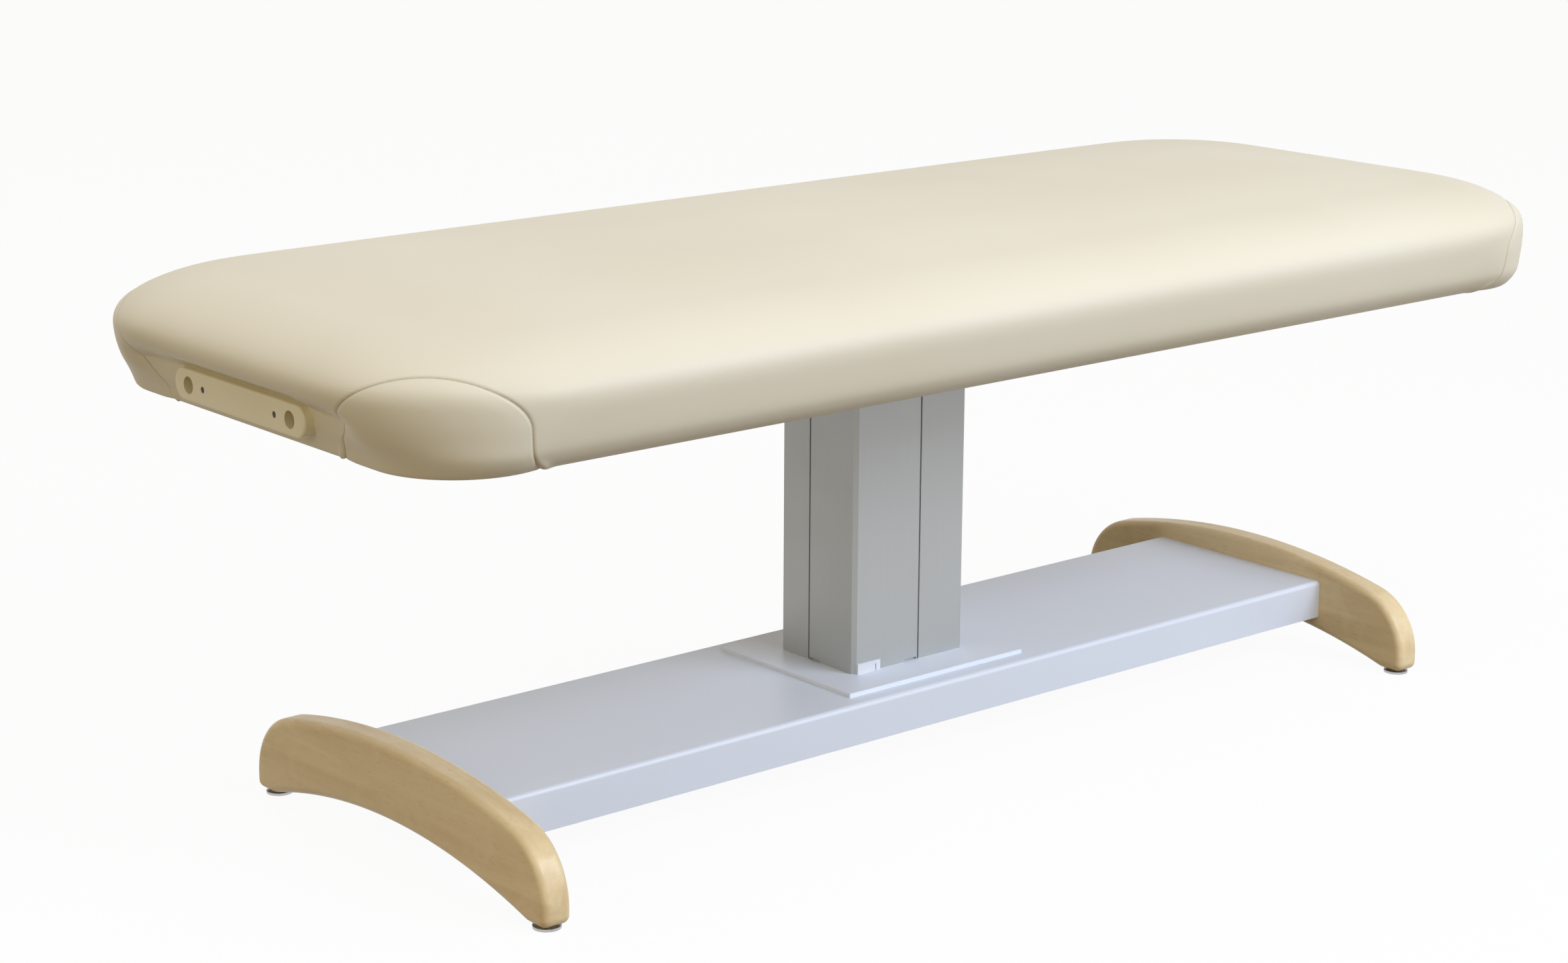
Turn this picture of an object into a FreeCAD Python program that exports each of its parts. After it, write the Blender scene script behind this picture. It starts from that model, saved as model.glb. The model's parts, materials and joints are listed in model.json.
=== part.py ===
import FreeCAD
import Part
import Sketcher
import math
import os
import re

# Electric massage table in millimetres. +X runs to the foot end, +Z is up, and the origin lies on the
# floor under the middle of the top. The head end, with the face-cradle outlet, is at -X.

document = FreeCAD.newDocument("massage_table")
sheet = document.addObject("Spreadsheet::Sheet", "Dims")

SIZES = {
    # upholstered top
    "top_length": 1854,
    "top_width": 737,
    "widest_height": 79.5,
    "roll_height": 51,
    "roll_reach": 128,
    "crown_rise": 9,
    "crown_flat": 139,
    "end_draw": 46,
    "side_draw": 35,
    "corner_low": 100,
    "corner_wide": 196,
    "corner_high": 90,
    "corner_crown": 45,
    "skin": 1.2,
    "skin_lip": 25,
    "skin_gap": 0.3,
    "panel_width": 204,
    "panel_height": 103,
    "panel_rise": 54,
    "panel_shift": 7.5,
    # wooden frame under the foam
    "deck_thick": 12,
    "rail_height": 43,
    "rail_thick": 20,
    # steel sub-frame
    "tube_size": 30,
    "tube_wall": 2,
    "tube_length": 1300,
    "tube_spacing": 300,
    "cross_spacing": 220,
    "frame_screw_spacing": 166,
    "frame_screw_reach": 8,
    "top_plate_length": 290,
    "top_plate_width": 250,
    "top_plate_thick": 6,
    # lift column
    "column_length": 184,
    "column_width": 140,
    "column_height": 419,
    "column_wall": 5,
    "column_chamfer": 5,
    "groove_width": 2.5,
    "groove_depth": 2,
    "groove_along": 15,
    "groove_across": 15,
    "notch_length": 20,
    "notch_height": 3,
    "notch_depth": 3.5,
    "port_radius": 6,
    "port_bore": 3.1,
    "port_inset": 4,
    "slide_gap": 3,
    "inner_wall": 4,
    "inner_chamfer": 14,
    "inner_reach": 8,
    "inner_lift": 18,
    "inner_port_radius": 5.5,
    "guide_height": 40,
    "guide_flange": 2,
    "guide_chamfer": 17.5,
    "run_gap": 0.25,
    "clip_length": 37,
    "clip_height": 13,
    "clip_thick": 2.5,
    "clip_slit": 1.5,
    "clip_slit_height": 9,
    "clip_slit_inset": 7.5,
    # lift drive inside the column
    "gearbox_length": 140,
    "gearbox_width": 76,
    "gearbox_height": 50,
    "gearbox_screw_inset": 12,
    "motor_radius": 30,
    "motor_height": 143,
    "motor_cap": 18,
    "motor_cap_radius": 24,
    "motor_offset": 36,
    "spindle_offset": 36,
    "spindle_radius": 10,
    "spindle_top_gap": 29,
    "journal_radius": 8,
    "journal_depth": 29,
    "journal_gap": 0.2,
    "push_radius": 20,
    "push_wall": 3,
    "push_gap": 8,
    "nut_height": 30,
    "nut_gap": 0.3,
    # base
    "plate_length": 289,
    "plate_width": 247,
    "plate_thick": 5,
    "plate_round": 1.5,
    "stud_inset": 17,
    "stud_spare": 3,
    "beam_length": 1376,
    "beam_width": 298,
    "beam_height": 51,
    "beam_clear": 51,
    "beam_wall": 2,
    "beam_bend": 6,
    "beam_lip": 20,
    "end_plate_thick": 5,
    "belly_thick": 1.5,
    "belly_margin": 4,
    "belly_screw_step": 440,
    # wooden feet
    "foot_thick": 38,
    "foot_length": 587,
    "foot_top": 133,
    "foot_seat": 5.5,
    "foot_top_radius": 1020,
    "foot_end_radius": 84,
    "foot_toe_radius": 10,
    "arch_rise": 38,
    "arch_radius": 900,
    "arch_blend": 30,
    "foot_round": 9,
    "foot_bolt_inner": 45,
    "foot_bolt_outer": 115,
    "insert_radius": 6,
    "insert_length": 28,
    # levelling glides
    "glide_spacing": 545,
    "glide_radius": 16,
    "glide_rim": 3,
    "glide_neck_radius": 9,
    "glide_cone": 1.8,
    "glide_stem": 5,
    "glide_stem_length": 20,
    "glide_gap": 0.3,
    "glide_nut_radius": 7,
    "glide_nut_length": 36,
    # fasteners
    "thread_gap": 0.1,
    "hole_gap": 0.5,
    "bolt_radius": 4,
    "bolt_head_radius": 6.5,
    "bolt_head_height": 5,
    "bolt_reach": 24,
    "screw_radius": 3,
    "screw_head_radius": 5.5,
    "screw_head_height": 3.5,
    "screw_reach": 16,
    "small_screw_radius": 2,
    "small_head_radius": 3.6,
    "small_head_height": 2,
    "small_screw_reach": 8,
    # face-cradle outlet
    "outlet_length": 265,
    "outlet_height": 36,
    "outlet_depth": 23.5,
    "outlet_rise": 31,
    "outlet_round": 3,
    "bore_radius": 9.7,
    "bore_spacing": 206,
    "backing_depth": 42,
    "backing_height": 40,
    "backing_margin": 30,
    "outlet_screw_spacing": 146,
    "outlet_screw_sink": 3,
    # electrics in the beam
    "box_length": 180,
    "box_width": 126,
    "box_height": 38,
    "box_wall": 2,
    "box_offset": 200,
    "board_thick": 1.6,
    "inlet_length": 28,
    "inlet_height": 20,
    "inlet_depth": 24,
    "inlet_flange": 3,
    "inlet_flange_thick": 2,
    "inlet_wall": 2.5,
    "inlet_recess": 16,
    "inlet_offset": 45,
    "pin_width": 4,
    "pin_thick": 2,
    "pin_length": 12,
    "pin_spacing": 7,
    "socket_radius": 9,
    "socket_bore": 6.5,
    "socket_depth": 18,
    "socket_recess": 12,
    "socket_offset": 110,
    "cable_radius": 3.5,
    "cable_bend": 30,
    "cable_side": 30,
    "cable_in": 20,
    "cable_gap": 1.5,
}

for row, (name, value) in enumerate(SIZES.items(), start=1):
    sheet.set("A%d" % row, name)
    sheet.set("B%d" % row, str(value))
    sheet.setAlias("B%d" % row, name)
document.recompute()


def size(name):
    return float(getattr(sheet, name))


# Heights that several pieces share, as formulas on the sheet
beam_top = "(beam_clear + beam_height)"
plate_top = "(%s + plate_thick)" % beam_top
gearbox_top = "(%s + gearbox_height)" % plate_top
column_top = "(%s + column_height)" % plate_top
inner_top = "(%s + inner_reach)" % column_top
tube_bottom = "(%s + top_plate_thick)" % inner_top
deck_bottom = "(%s + tube_size)" % tube_bottom
rail_bottom = "(%s - rail_height)" % deck_bottom
end_inset = "(end_draw + skin + skin_gap)"
side_inset = "(side_draw + skin + skin_gap)"

# The same heights as numbers, for the pieces whose shape is set by formula
BEAM_TOP = size("beam_clear") + size("beam_height")
COLUMN_TOP = BEAM_TOP + size("plate_thick") + size("column_height")
DECK_BOTTOM = COLUMN_TOP + size("inner_reach") + size("top_plate_thick") + size("tube_size")
RAIL_BOTTOM = DECK_BOTTOM - size("rail_height")
FRAME_INSETS = [size(draw) + size("skin") + size("skin_gap") for draw in ("end_draw", "side_draw")]

ENDS = {"head": -1, "tail": 1}
SIDES = {"front": -1, "back": 1}
CORNERS = {"tail_back": (1, 1), "head_back": (-1, 1), "head_front": (-1, -1), "tail_front": (1, -1)}

# The padded edge under its widest line: shares of the ends' and of the long sides' draw-in, of the widest
# line's height and of the way from the lower corner radius to the wide one. The ends turn in over a high
# soft curve, and the long sides over a round lower edge.
EDGE_SHAPE = ((1.0, 1.0, 0.0, 0.0), (0.966, 0.7, 0.08, 0.12), (0.857, 0.37, 0.24, 0.25),
              (0.465, 0.2, 0.47, 0.58), (0.183, 0.07, 0.72, 0.8), (0.0, 0.0, 1.0, 1.0))
# The roll over the edge: a superellipse's exponent and its steps in degrees, then the crown's steps
ROLL_POWER = 1.9
ROLL_STEPS = (24, 42, 58, 74, 90)
CROWN_STEPS = (0.4, 1.0)

FASTENERS = {
    "bolt": ("bolt_radius", "bolt_head_radius", "bolt_head_height"),
    "screw": ("screw_radius", "screw_head_radius", "screw_head_height"),
    "small_screw": ("small_screw_radius", "small_head_radius", "small_head_height"),
}
AXIS_TURNS = {
    "+z": FreeCAD.Rotation(),
    "-z": FreeCAD.Rotation(FreeCAD.Vector(1, 0, 0), 180),
    "+x": FreeCAD.Rotation(FreeCAD.Vector(0, 1, 0), 90),
    "-x": FreeCAD.Rotation(FreeCAD.Vector(0, 1, 0), -90),
    "+y": FreeCAD.Rotation(FreeCAD.Vector(1, 0, 0), -90),
    "-y": FreeCAD.Rotation(FreeCAD.Vector(1, 0, 0), 90),
}

subparts = []


def linked(text):
    # a formula with each size's name led back to the sheet
    return re.sub(r"[a-z_]+", lambda word: ("Dims." if word.group(0) in SIZES else "") + word.group(0), text)


def bind(thing, **formulas):
    for path, text in formulas.items():
        thing.setExpression(path, linked(text))


def place(thing, x="0", y="0", z="0", turn="+z"):
    thing.Placement = FreeCAD.Placement(FreeCAD.Vector(), AXIS_TURNS[turn])
    for letter, text in zip("xyz", (x, y, z)):
        thing.setExpression("Placement.Base." + letter, linked(text))
    return thing


def block(length, width, height, x="0", y="0", z="0"):
    # a box centred on x and y, standing on z
    box = document.addObject("Part::Box", "block")
    bind(box, Length=length, Width=width, Height=height)
    return place(box, "%s - (%s) / 2" % (x, length), "%s - (%s) / 2" % (y, width), z)


def rod(radius, height, x="0", y="0", z="0", turn="+z"):
    cylinder = document.addObject("Part::Cylinder", "rod")
    bind(cylinder, Radius=radius, Height=height)
    return place(cylinder, x, y, z, turn)


def cone(lower, upper, height, x="0", y="0", z="0", turn="+z"):
    taper = document.addObject("Part::Cone", "cone")
    bind(taper, Radius1=lower, Radius2=upper, Height=height)
    return place(taper, x, y, z, turn)


def fuse(pieces):
    joined = document.addObject("Part::MultiFuse", "fuse")
    joined.Shapes = pieces
    return joined


def cut(base, tools):
    removed = document.addObject("Part::Cut", "cut")
    removed.Base = base
    removed.Tool = tools[0] if len(tools) == 1 else fuse(tools)
    return removed


def common(first, second):
    shared = document.addObject("Part::Common", "common")
    shared.Base = first
    shared.Tool = second
    return shared


def group(pieces):
    together = document.addObject("Part::Compound", "group")
    together.Links = pieces
    return together


def formed(shape):
    # a piece whose shape no primitive or sketch gives
    piece = document.addObject("Part::Feature", "formed")
    piece.Shape = shape
    return piece


def subpart(name, thing):
    thing.Label = name
    subparts.append(thing)
    return thing


def bolt(kind, reach, x, y, z, turn):
    # a headed screw whose head seats at x, y, z and whose shank runs along turn
    radius, head_radius, head_height = FASTENERS[kind]
    opposite = ("-" if turn[0] == "+" else "+") + turn[1]
    return fuse([rod(radius, reach, x, y, z, turn), rod(head_radius, head_height, x, y, z, opposite)])


def chamfered_loop(sketch, length, width, chamfer):
    # an eight-sided outline centred on the sketch's origin; it is drawn at any size, then held by its
    # dimensions
    half_x = 60.0
    half_y = 50.0
    slant = 10.0
    corners = [(-half_x + slant, -half_y), (half_x - slant, -half_y), (half_x, -half_y + slant),
               (half_x, half_y - slant), (half_x - slant, half_y), (-half_x + slant, half_y),
               (-half_x, half_y - slant), (-half_x, -half_y + slant)]
    points = [FreeCAD.Vector(px, py, 0) for px, py in corners]
    lines = [sketch.addGeometry(Part.LineSegment(points[i], points[(i + 1) % 8]), False) for i in range(8)]
    for i in range(8):
        sketch.addConstraint(Sketcher.Constraint("Coincident", lines[i], 2, lines[(i + 1) % 8], 1))
    for i, axis in ((0, -2), (2, -1), (4, -2), (6, -1)):
        sketch.addConstraint(Sketcher.Constraint("Symmetric", lines[i], 1, lines[i], 2, axis))
    for kind, line, formula in (("DistanceY", 4, width), ("DistanceX", 2, length)):
        far = sketch.addConstraint(Sketcher.Constraint(kind, -1, 1, lines[line], 1, half_x))
        near = sketch.addConstraint(Sketcher.Constraint(kind, lines[(line + 4) % 8], 1, -1, 1, half_x))
        for held in (far, near):
            sketch.setExpression("Constraints[%d]" % held, linked("(%s) / 2" % formula))
    for kind, line, order, formula in (("DistanceX", 0, (1, 2), length), ("DistanceX", 4, (2, 1), length),
                                       ("DistanceY", 2, (1, 2), width), ("DistanceY", 6, (2, 1), width)):
        ends = (lines[line], order[0], lines[line], order[1])
        held = sketch.addConstraint(Sketcher.Constraint(kind, *ends, half_y))
        sketch.setExpression("Constraints[%d]" % held, linked("(%s) - 2 * (%s)" % (formula, chamfer)))


def chamfered_tube(name, loops, height, z):
    # a straight extrusion: the first loop is its outline and the second, if any, its hollow
    body = document.addObject("PartDesign::Body", name)
    sketch = body.newObject("Sketcher::SketchObject", name + "_outline")
    plane = [feature for feature in body.Origin.OriginFeatures if feature.Role == "XY_Plane"][0]
    sketch.AttachmentSupport = [(plane, "")]
    sketch.MapMode = "FlatFace"
    for length, width, chamfer in loops:
        chamfered_loop(sketch, length, width, chamfer)
    pad = body.newObject("PartDesign::Pad", name + "_pad")
    pad.Profile = sketch
    bind(pad, Length=height)
    return place(body, z=z)


def rounded_wire(half_x, half_y, radius, z):
    # a rectangle with round corners, four lines and four quarter arcs
    edges = []
    turns = [(1, -1), (1, 1), (-1, 1), (-1, -1)]
    for i, (sx, sy) in enumerate(turns):
        centre = FreeCAD.Vector(sx * (half_x - radius), sy * (half_y - radius), z)
        start = math.radians(-90 + 90 * i)
        ends = [centre + FreeCAD.Vector(math.cos(start + a), math.sin(start + a), 0) * radius
                for a in (0, math.pi / 4, math.pi / 2)]
        if edges:
            edges.append(Part.LineSegment(edges[-1].EndPoint, ends[0]))
        edges.append(Part.Arc(*ends))
    edges.append(Part.LineSegment(edges[-1].EndPoint, edges[0].StartPoint))
    return Part.Wire([edge.toShape() for edge in edges])


def cushion_profile():
    # how far in from the ends and from the long sides the cushion is, how high over the rail's lower edge
    # and how round in the corner, from its lower edge to its crown
    widest = size("widest_height")
    low = size("corner_low")
    wide = size("corner_wide")
    high = size("corner_high")
    rows = []
    for end, side, height, round_in in EDGE_SHAPE:
        rows.append((end * size("end_draw"), side * size("side_draw"), height * widest,
                     low + (wide - low) * round_in))
    for degrees in ROLL_STEPS:
        angle = math.radians(degrees)
        share = 1 - max(math.cos(angle), 0.0) ** (2 / ROLL_POWER)
        rolled = size("roll_reach") * share
        rows.append((rolled, rolled, widest + size("roll_height") * math.sin(angle) ** (2 / ROLL_POWER),
                     wide + (high - wide) * share))
    crown_reach = (size("top_width") - size("crown_flat")) / 2 - size("roll_reach")
    for share in CROWN_STEPS:
        reached = size("roll_reach") + crown_reach * share
        lifted = size("roll_height") + size("crown_rise") * (1 - (1 - share) ** 2)
        rows.append((reached, reached, widest + lifted, high + (size("corner_crown") - high) * share))
    return rows


def cushion_form(depth):
    # the cushion's outside moved in by a depth along its own normals
    rows = cushion_profile()
    wires = []
    for i, (end, side, height, radius) in enumerate(rows):
        before = rows[max(i - 1, 0)]
        after = rows[min(i + 1, len(rows) - 1)]
        rise = after[2] - before[2]
        insets = [inset + depth * rise / math.hypot(before[k] - after[k], rise)
                  for k, inset in enumerate((end, side))]
        run = before[0] - after[0]
        lowered = height + (depth * run / math.hypot(run, rise) if run < 0 else 0.0)
        if i == len(rows) - 1:
            lowered = height - depth
        wires.append(rounded_wire(size("top_length") / 2 - insets[0], size("top_width") / 2 - insets[1],
                                  radius - depth, RAIL_BOTTOM + lowered))
    return Part.makeLoft(wires, True, True)


def rounded_slab(insets, radius, z, height):
    outline = rounded_wire(size("top_length") / 2 - insets[0], size("top_width") / 2 - insets[1], radius, z)
    return Part.Face(outline).extrude(FreeCAD.Vector(0, 0, height))


# Upholstery: a vinyl skin with four sewn corner panels over a foam core
outlet_z = "(%s + outlet_rise)" % rail_bottom
outlet_back = "(top_length / 2 - %s)" % end_inset
inside = cushion_form(size("skin"))
draws = (size("end_draw"), size("side_draw"))
lower_lip = rounded_slab(draws, size("corner_low"), RAIL_BOTTOM - size("skin"), size("skin"))
lip_opening = rounded_slab([draw + size("skin") + size("skin_lip") for draw in draws], size("corner_low"),
                           RAIL_BOTTOM - size("skin"), 2 * size("skin"))
skin_shape = cushion_form(0.0).fuse(lower_lip).removeSplitter().cut(inside).cut(lip_opening)
skin_whole = formed(skin_shape)

# A panel is what an arch across the corner, a little nearer the end, cuts from the skin
panel_tools = []
half = size("panel_width") / 2
top = RAIL_BOTTOM + size("panel_height")
spring = top - size("panel_rise")
low = RAIL_BOTTOM - 2 * size("skin")
for across, along in CORNERS.values():
    crown = Part.Ellipse(FreeCAD.Vector(0, half, spring), FreeCAD.Vector(0, 0, top),
                         FreeCAD.Vector(0, 0, spring))
    arch = [Part.LineSegment(FreeCAD.Vector(0, -half, low), FreeCAD.Vector(0, half, low)),
            Part.LineSegment(FreeCAD.Vector(0, half, low), FreeCAD.Vector(0, half, spring)),
            Part.ArcOfEllipse(crown, 0, math.pi),
            Part.LineSegment(FreeCAD.Vector(0, -half, spring), FreeCAD.Vector(0, -half, low))]
    prism = Part.Face(Part.Wire([edge.toShape() for edge in arch])).extrude(
        FreeCAD.Vector(2 * size("panel_width"), 0, 0))
    prism.translate(FreeCAD.Vector(-size("panel_width"), 0, 0))
    prism.rotate(FreeCAD.Vector(), FreeCAD.Vector(0, 0, 1), math.degrees(math.atan2(along, across)))
    prism.translate(FreeCAD.Vector(
        across * (size("top_length") / 2 - size("end_draw") + size("panel_shift")),
        along * (size("top_width") / 2 - size("side_draw") - size("panel_shift")), 0))
    panel_tools.append(formed(prism))


def pill(grow, back, depth):
    # the outlet's long outline with full round ends, running out to the head end from its back
    front = "-%s - (%s)" % (back, depth)
    tall = "outlet_height + 2 * (%s)" % grow
    straight = "(outlet_length - outlet_height)"
    middle = block(depth, straight, tall, front + " + (%s) / 2" % depth, "0",
                   "%s - (%s) / 2" % (outlet_z, tall))
    round_ends = [rod("(%s) / 2" % tall, depth, front, "%d * %s / 2" % (side, straight), outlet_z, "+x")
                  for side in SIDES.values()]
    whole = fuse([middle] + round_ends)
    whole.Refine = True
    return whole


outlet_window = pill("skin_gap", outlet_back, end_inset)
subpart("vinyl_cover", cut(skin_whole, panel_tools + [outlet_window]))
for corner, tool in zip(CORNERS, panel_tools):
    subpart("corner_panel_" + corner, common(skin_whole, tool))

foam_room = formed(cushion_form(size("skin") + size("skin_gap")))
foam_floor = block("top_length", "top_width", deck_bottom + " + deck_thick", z="0")
subpart("foam_core", cut(foam_room, [foam_floor]))

# Wooden frame: deck, rails and round corner blocks
corner_out = size("corner_low") - size("skin")
subpart("deck", formed(rounded_slab(FRAME_INSETS, corner_out, DECK_BOTTOM, size("deck_thick"))))
corner_reach = "(corner_low - skin)"
for name, side in SIDES.items():
    subpart("side_rail_" + name,
            block("top_length - 2 * %s - 2 * %s" % (end_inset, corner_reach), "rail_thick", "rail_height",
                  y="%d * (top_width / 2 - %s - rail_thick / 2)" % (side, side_inset), z=rail_bottom))
end_rail_length = "(top_width - 2 * %s - 2 * %s)" % (side_inset, corner_reach)
rail_middle = "(top_length / 2 - %s - rail_thick / 2)" % end_inset
head_rail = block("rail_thick", end_rail_length, "rail_height", x="-" + rail_middle, z=rail_bottom)
subpart("end_rail_tail", block("rail_thick", end_rail_length, "rail_height", x=rail_middle, z=rail_bottom))
backing_x = "(top_length / 2 - %s - rail_thick - backing_depth / 2)" % end_inset
backing = block("backing_depth", "bore_spacing + 2 * backing_margin", "backing_height", x="-" + backing_x,
                z=deck_bottom + " - backing_height")
outlet_front = "-%s - outlet_depth" % outlet_back
bores = [rod("bore_radius", "outlet_depth + rail_thick + backing_depth", outlet_front,
             "%d * bore_spacing / 2" % side, outlet_z, "+x") for side in SIDES.values()]
screw_reach = "outlet_depth + rail_thick"
screw_spots = ["%d * outlet_screw_spacing / 2" % side for side in SIDES.values()]
screw_bores = [rod("small_screw_radius + thread_gap", "outlet_screw_sink + %s + hole_gap" % screw_reach,
                   outlet_front, y, outlet_z, "+x") for y in screw_spots]
subpart("end_rail_head", cut(head_rail, bores + screw_bores))
subpart("cradle_backing_block", cut(backing, bores + screw_bores))
for turns, (corner, (sx, sy)) in enumerate(CORNERS.items()):
    centre_x = "%d * (top_length / 2 - %s - %s)" % (sx, end_inset, corner_reach)
    centre_y = "%d * (top_width / 2 - %s - %s)" % (sy, side_inset, corner_reach)
    quarter = document.addObject("Part::Cylinder", "quarter")
    bind(quarter, Radius=corner_reach, Height="rail_height")
    quarter.Angle = 90
    quarter.Placement.Rotation = FreeCAD.Rotation(FreeCAD.Vector(0, 0, 1), turns * 90)
    for letter, text in zip("xyz", (centre_x, centre_y, rail_bottom)):
        quarter.setExpression("Placement.Base." + letter, linked(text))
    subpart("corner_block_" + corner, quarter)

# Face-cradle outlet: a pill-shaped block on the rail with an eased rim, two sockets and two sunk screws
outlet_blank = pill("0", outlet_back, "outlet_depth")
document.recompute()
outlet_face = outlet_blank.Shape.BoundBox.XMin
rim = [i + 1 for i, edge in enumerate(outlet_blank.Shape.Edges)
       if edge.BoundBox.XMax < outlet_face + size("outlet_round")]
outlet_eased = document.addObject("Part::Fillet", "outlet_eased")
outlet_eased.Base = outlet_blank
outlet_eased.Edges = [(i, size("outlet_round"), size("outlet_round")) for i in rim]
sinks = [rod("small_head_radius + thread_gap", "outlet_screw_sink", outlet_front, y, outlet_z, "+x")
         for y in screw_spots]
subpart("cradle_outlet", cut(outlet_eased, bores + screw_bores + sinks))
subpart("outlet_screws", group([bolt("small_screw", screw_reach, outlet_front + " + outlet_screw_sink", y,
                                     outlet_z, "+x") for y in screw_spots]))

# Steel sub-frame: two long tubes, two cross tubes and the plate on the inner column
tube_inner = "tube_size - 2 * tube_wall"
for name, side in SIDES.items():
    middle = "%d * tube_spacing / 2" % side
    walls = block("tube_length", "tube_size", "tube_size", y=middle, z=tube_bottom)
    hollow = block("tube_length", tube_inner, tube_inner, y=middle, z=tube_bottom + " + tube_wall")
    subpart("frame_tube_" + name, cut(walls, [hollow]))
cross_length = "(tube_spacing - tube_size)"
for name, end in ENDS.items():
    middle = "%d * cross_spacing / 2" % end
    walls = block("tube_size", cross_length, "tube_size", x=middle, z=tube_bottom)
    hollow = block(tube_inner, cross_length, tube_inner, x=middle, z=tube_bottom + " + tube_wall")
    bolt_holes = [rod("screw_radius + hole_gap", "tube_wall", middle, "%d * frame_screw_spacing / 2" % side,
                      tube_bottom) for side in SIDES.values()]
    subpart("cross_tube_" + name, cut(walls, [hollow] + bolt_holes))

inner_length = "(column_length - 2 * column_wall - 2 * slide_gap)"
inner_width = "(column_width - 2 * column_wall - 2 * slide_gap)"
port_depth = "(inner_chamfer / 2 + (inner_wall + screw_radius) * sqrt(0.5))"
inner_port_x = "(%s / 2 - %s)" % (inner_length, port_depth)
inner_port_y = "(%s / 2 - %s)" % (inner_width, port_depth)
inner_ports = [("%d * %s" % (sx, inner_port_x), "%d * %s" % (sy, inner_port_y))
               for sx, sy in CORNERS.values()]
frame_spots = [("%d * cross_spacing / 2" % sx, "%d * frame_screw_spacing / 2" % sy)
               for sx, sy in CORNERS.values()]

top_plate = block("top_plate_length", "top_plate_width", "top_plate_thick", z=inner_top)
subpart("column_top_plate",
        cut(top_plate, [rod("screw_radius + hole_gap", "top_plate_thick", x, y, inner_top)
                        for x, y in inner_ports + frame_spots]))
subpart("top_plate_screws", group([bolt("screw", "top_plate_thick + screw_reach", x, y, tube_bottom, "-z")
                                   for x, y in inner_ports]))
subpart("frame_screws", group([bolt("screw", "top_plate_thick + frame_screw_reach", x, y, inner_top, "+z")
                               for x, y in frame_spots]))

# Inner column with its guide ring, push tube and spindle nut
inner_bottom = "(" + plate_top + " + inner_lift)"
inner_height = "(column_height + inner_reach - inner_lift)"
hollow_inner = ("%s - 2 * inner_wall" % inner_length, "%s - 2 * inner_wall" % inner_width,
                "inner_chamfer - (2 - sqrt(2)) * inner_wall")
inner_shell = chamfered_tube("inner_shell", [(inner_length, inner_width, "inner_chamfer"), hollow_inner],
                             inner_height, inner_bottom)
inner_bosses = [rod("inner_port_radius", inner_height, x, y, inner_bottom) for x, y in inner_ports]
inner_trim = chamfered_tube("inner_trim", [(inner_length, inner_width, "inner_chamfer")], inner_height,
                            inner_bottom)
inner_solid = fuse([inner_shell] + [common(boss, inner_trim) for boss in inner_bosses])
subpart("inner_column", cut(inner_solid, [rod("screw_radius + thread_gap", inner_height, x, y, inner_bottom)
                                          for x, y in inner_ports]))

room_length = "(column_length - 2 * column_wall)"
room_width = "(column_width - 2 * column_wall)"
lower_ring = chamfered_tube("lower_ring", [(room_length + " - 2 * run_gap", room_width + " - 2 * run_gap",
                                            "guide_chamfer"), (inner_length, inner_width, "inner_chamfer")],
                            "guide_height", inner_bottom)
lower_flange = chamfered_tube("lower_flange", [(room_length + " - 2 * run_gap", room_width + " - 2 * run_gap",
                                                "guide_chamfer"), hollow_inner], "guide_flange",
                              inner_bottom + " - guide_flange")
flange_ports = [rod("inner_port_radius", "guide_flange", x, y, inner_bottom + " - guide_flange")
                for x, y in inner_ports]
subpart("lower_guide_ring", cut(fuse([lower_ring, lower_flange]), flange_ports))

spindle_x = "-spindle_offset"
push_bottom = "(" + gearbox_top + " + push_gap)"
push_height = "(%s - %s)" % (inner_top, push_bottom)
push_walls = rod("push_radius", push_height, spindle_x, "0", push_bottom)
push_hollow = rod("push_radius - push_wall", push_height, spindle_x, "0", push_bottom)
subpart("push_tube", cut(push_walls, [push_hollow]))
nut_body = rod("push_radius - push_wall", "nut_height", spindle_x, "0", push_bottom)
nut_bore = rod("spindle_radius + nut_gap", "nut_height", spindle_x, "0", push_bottom)
subpart("spindle_nut", cut(nut_body, [nut_bore]))

# Spindle, carried by its journal in the gearbox
spindle_height = "(%s - spindle_top_gap - %s - run_gap)" % (inner_top, gearbox_top)
journal = rod("journal_radius", "journal_depth + run_gap", spindle_x, "0", gearbox_top + " - journal_depth")
subpart("lift_spindle", fuse([rod("spindle_radius", spindle_height, spindle_x, "0",
                                  gearbox_top + " + run_gap"), journal]))

# Gearbox and motor on the column's base plate
gearbox_case = block("gearbox_length", "gearbox_width", "gearbox_height", z=plate_top)
journal_bore = rod("journal_radius + journal_gap", "journal_depth + run_gap", spindle_x, "0",
                   gearbox_top + " - journal_depth - run_gap")
drive_spots = [("%d * (gearbox_length / 2 - gearbox_screw_inset)" % sx,
                "%d * (gearbox_width / 2 - gearbox_screw_inset)" % sy) for sx, sy in CORNERS.values()]
drive_holes = [rod("screw_radius + thread_gap", "screw_reach + thread_gap", x, y, plate_top)
               for x, y in drive_spots]
subpart("lift_gearbox", cut(gearbox_case, [journal_bore] + drive_holes))
subpart("lift_motor", fuse([rod("motor_radius", "motor_height - motor_cap", "motor_offset", "0", gearbox_top),
                            cone("motor_radius", "motor_cap_radius", "motor_cap", "motor_offset", "0",
                                 gearbox_top + " + motor_height - motor_cap")]))

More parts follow.
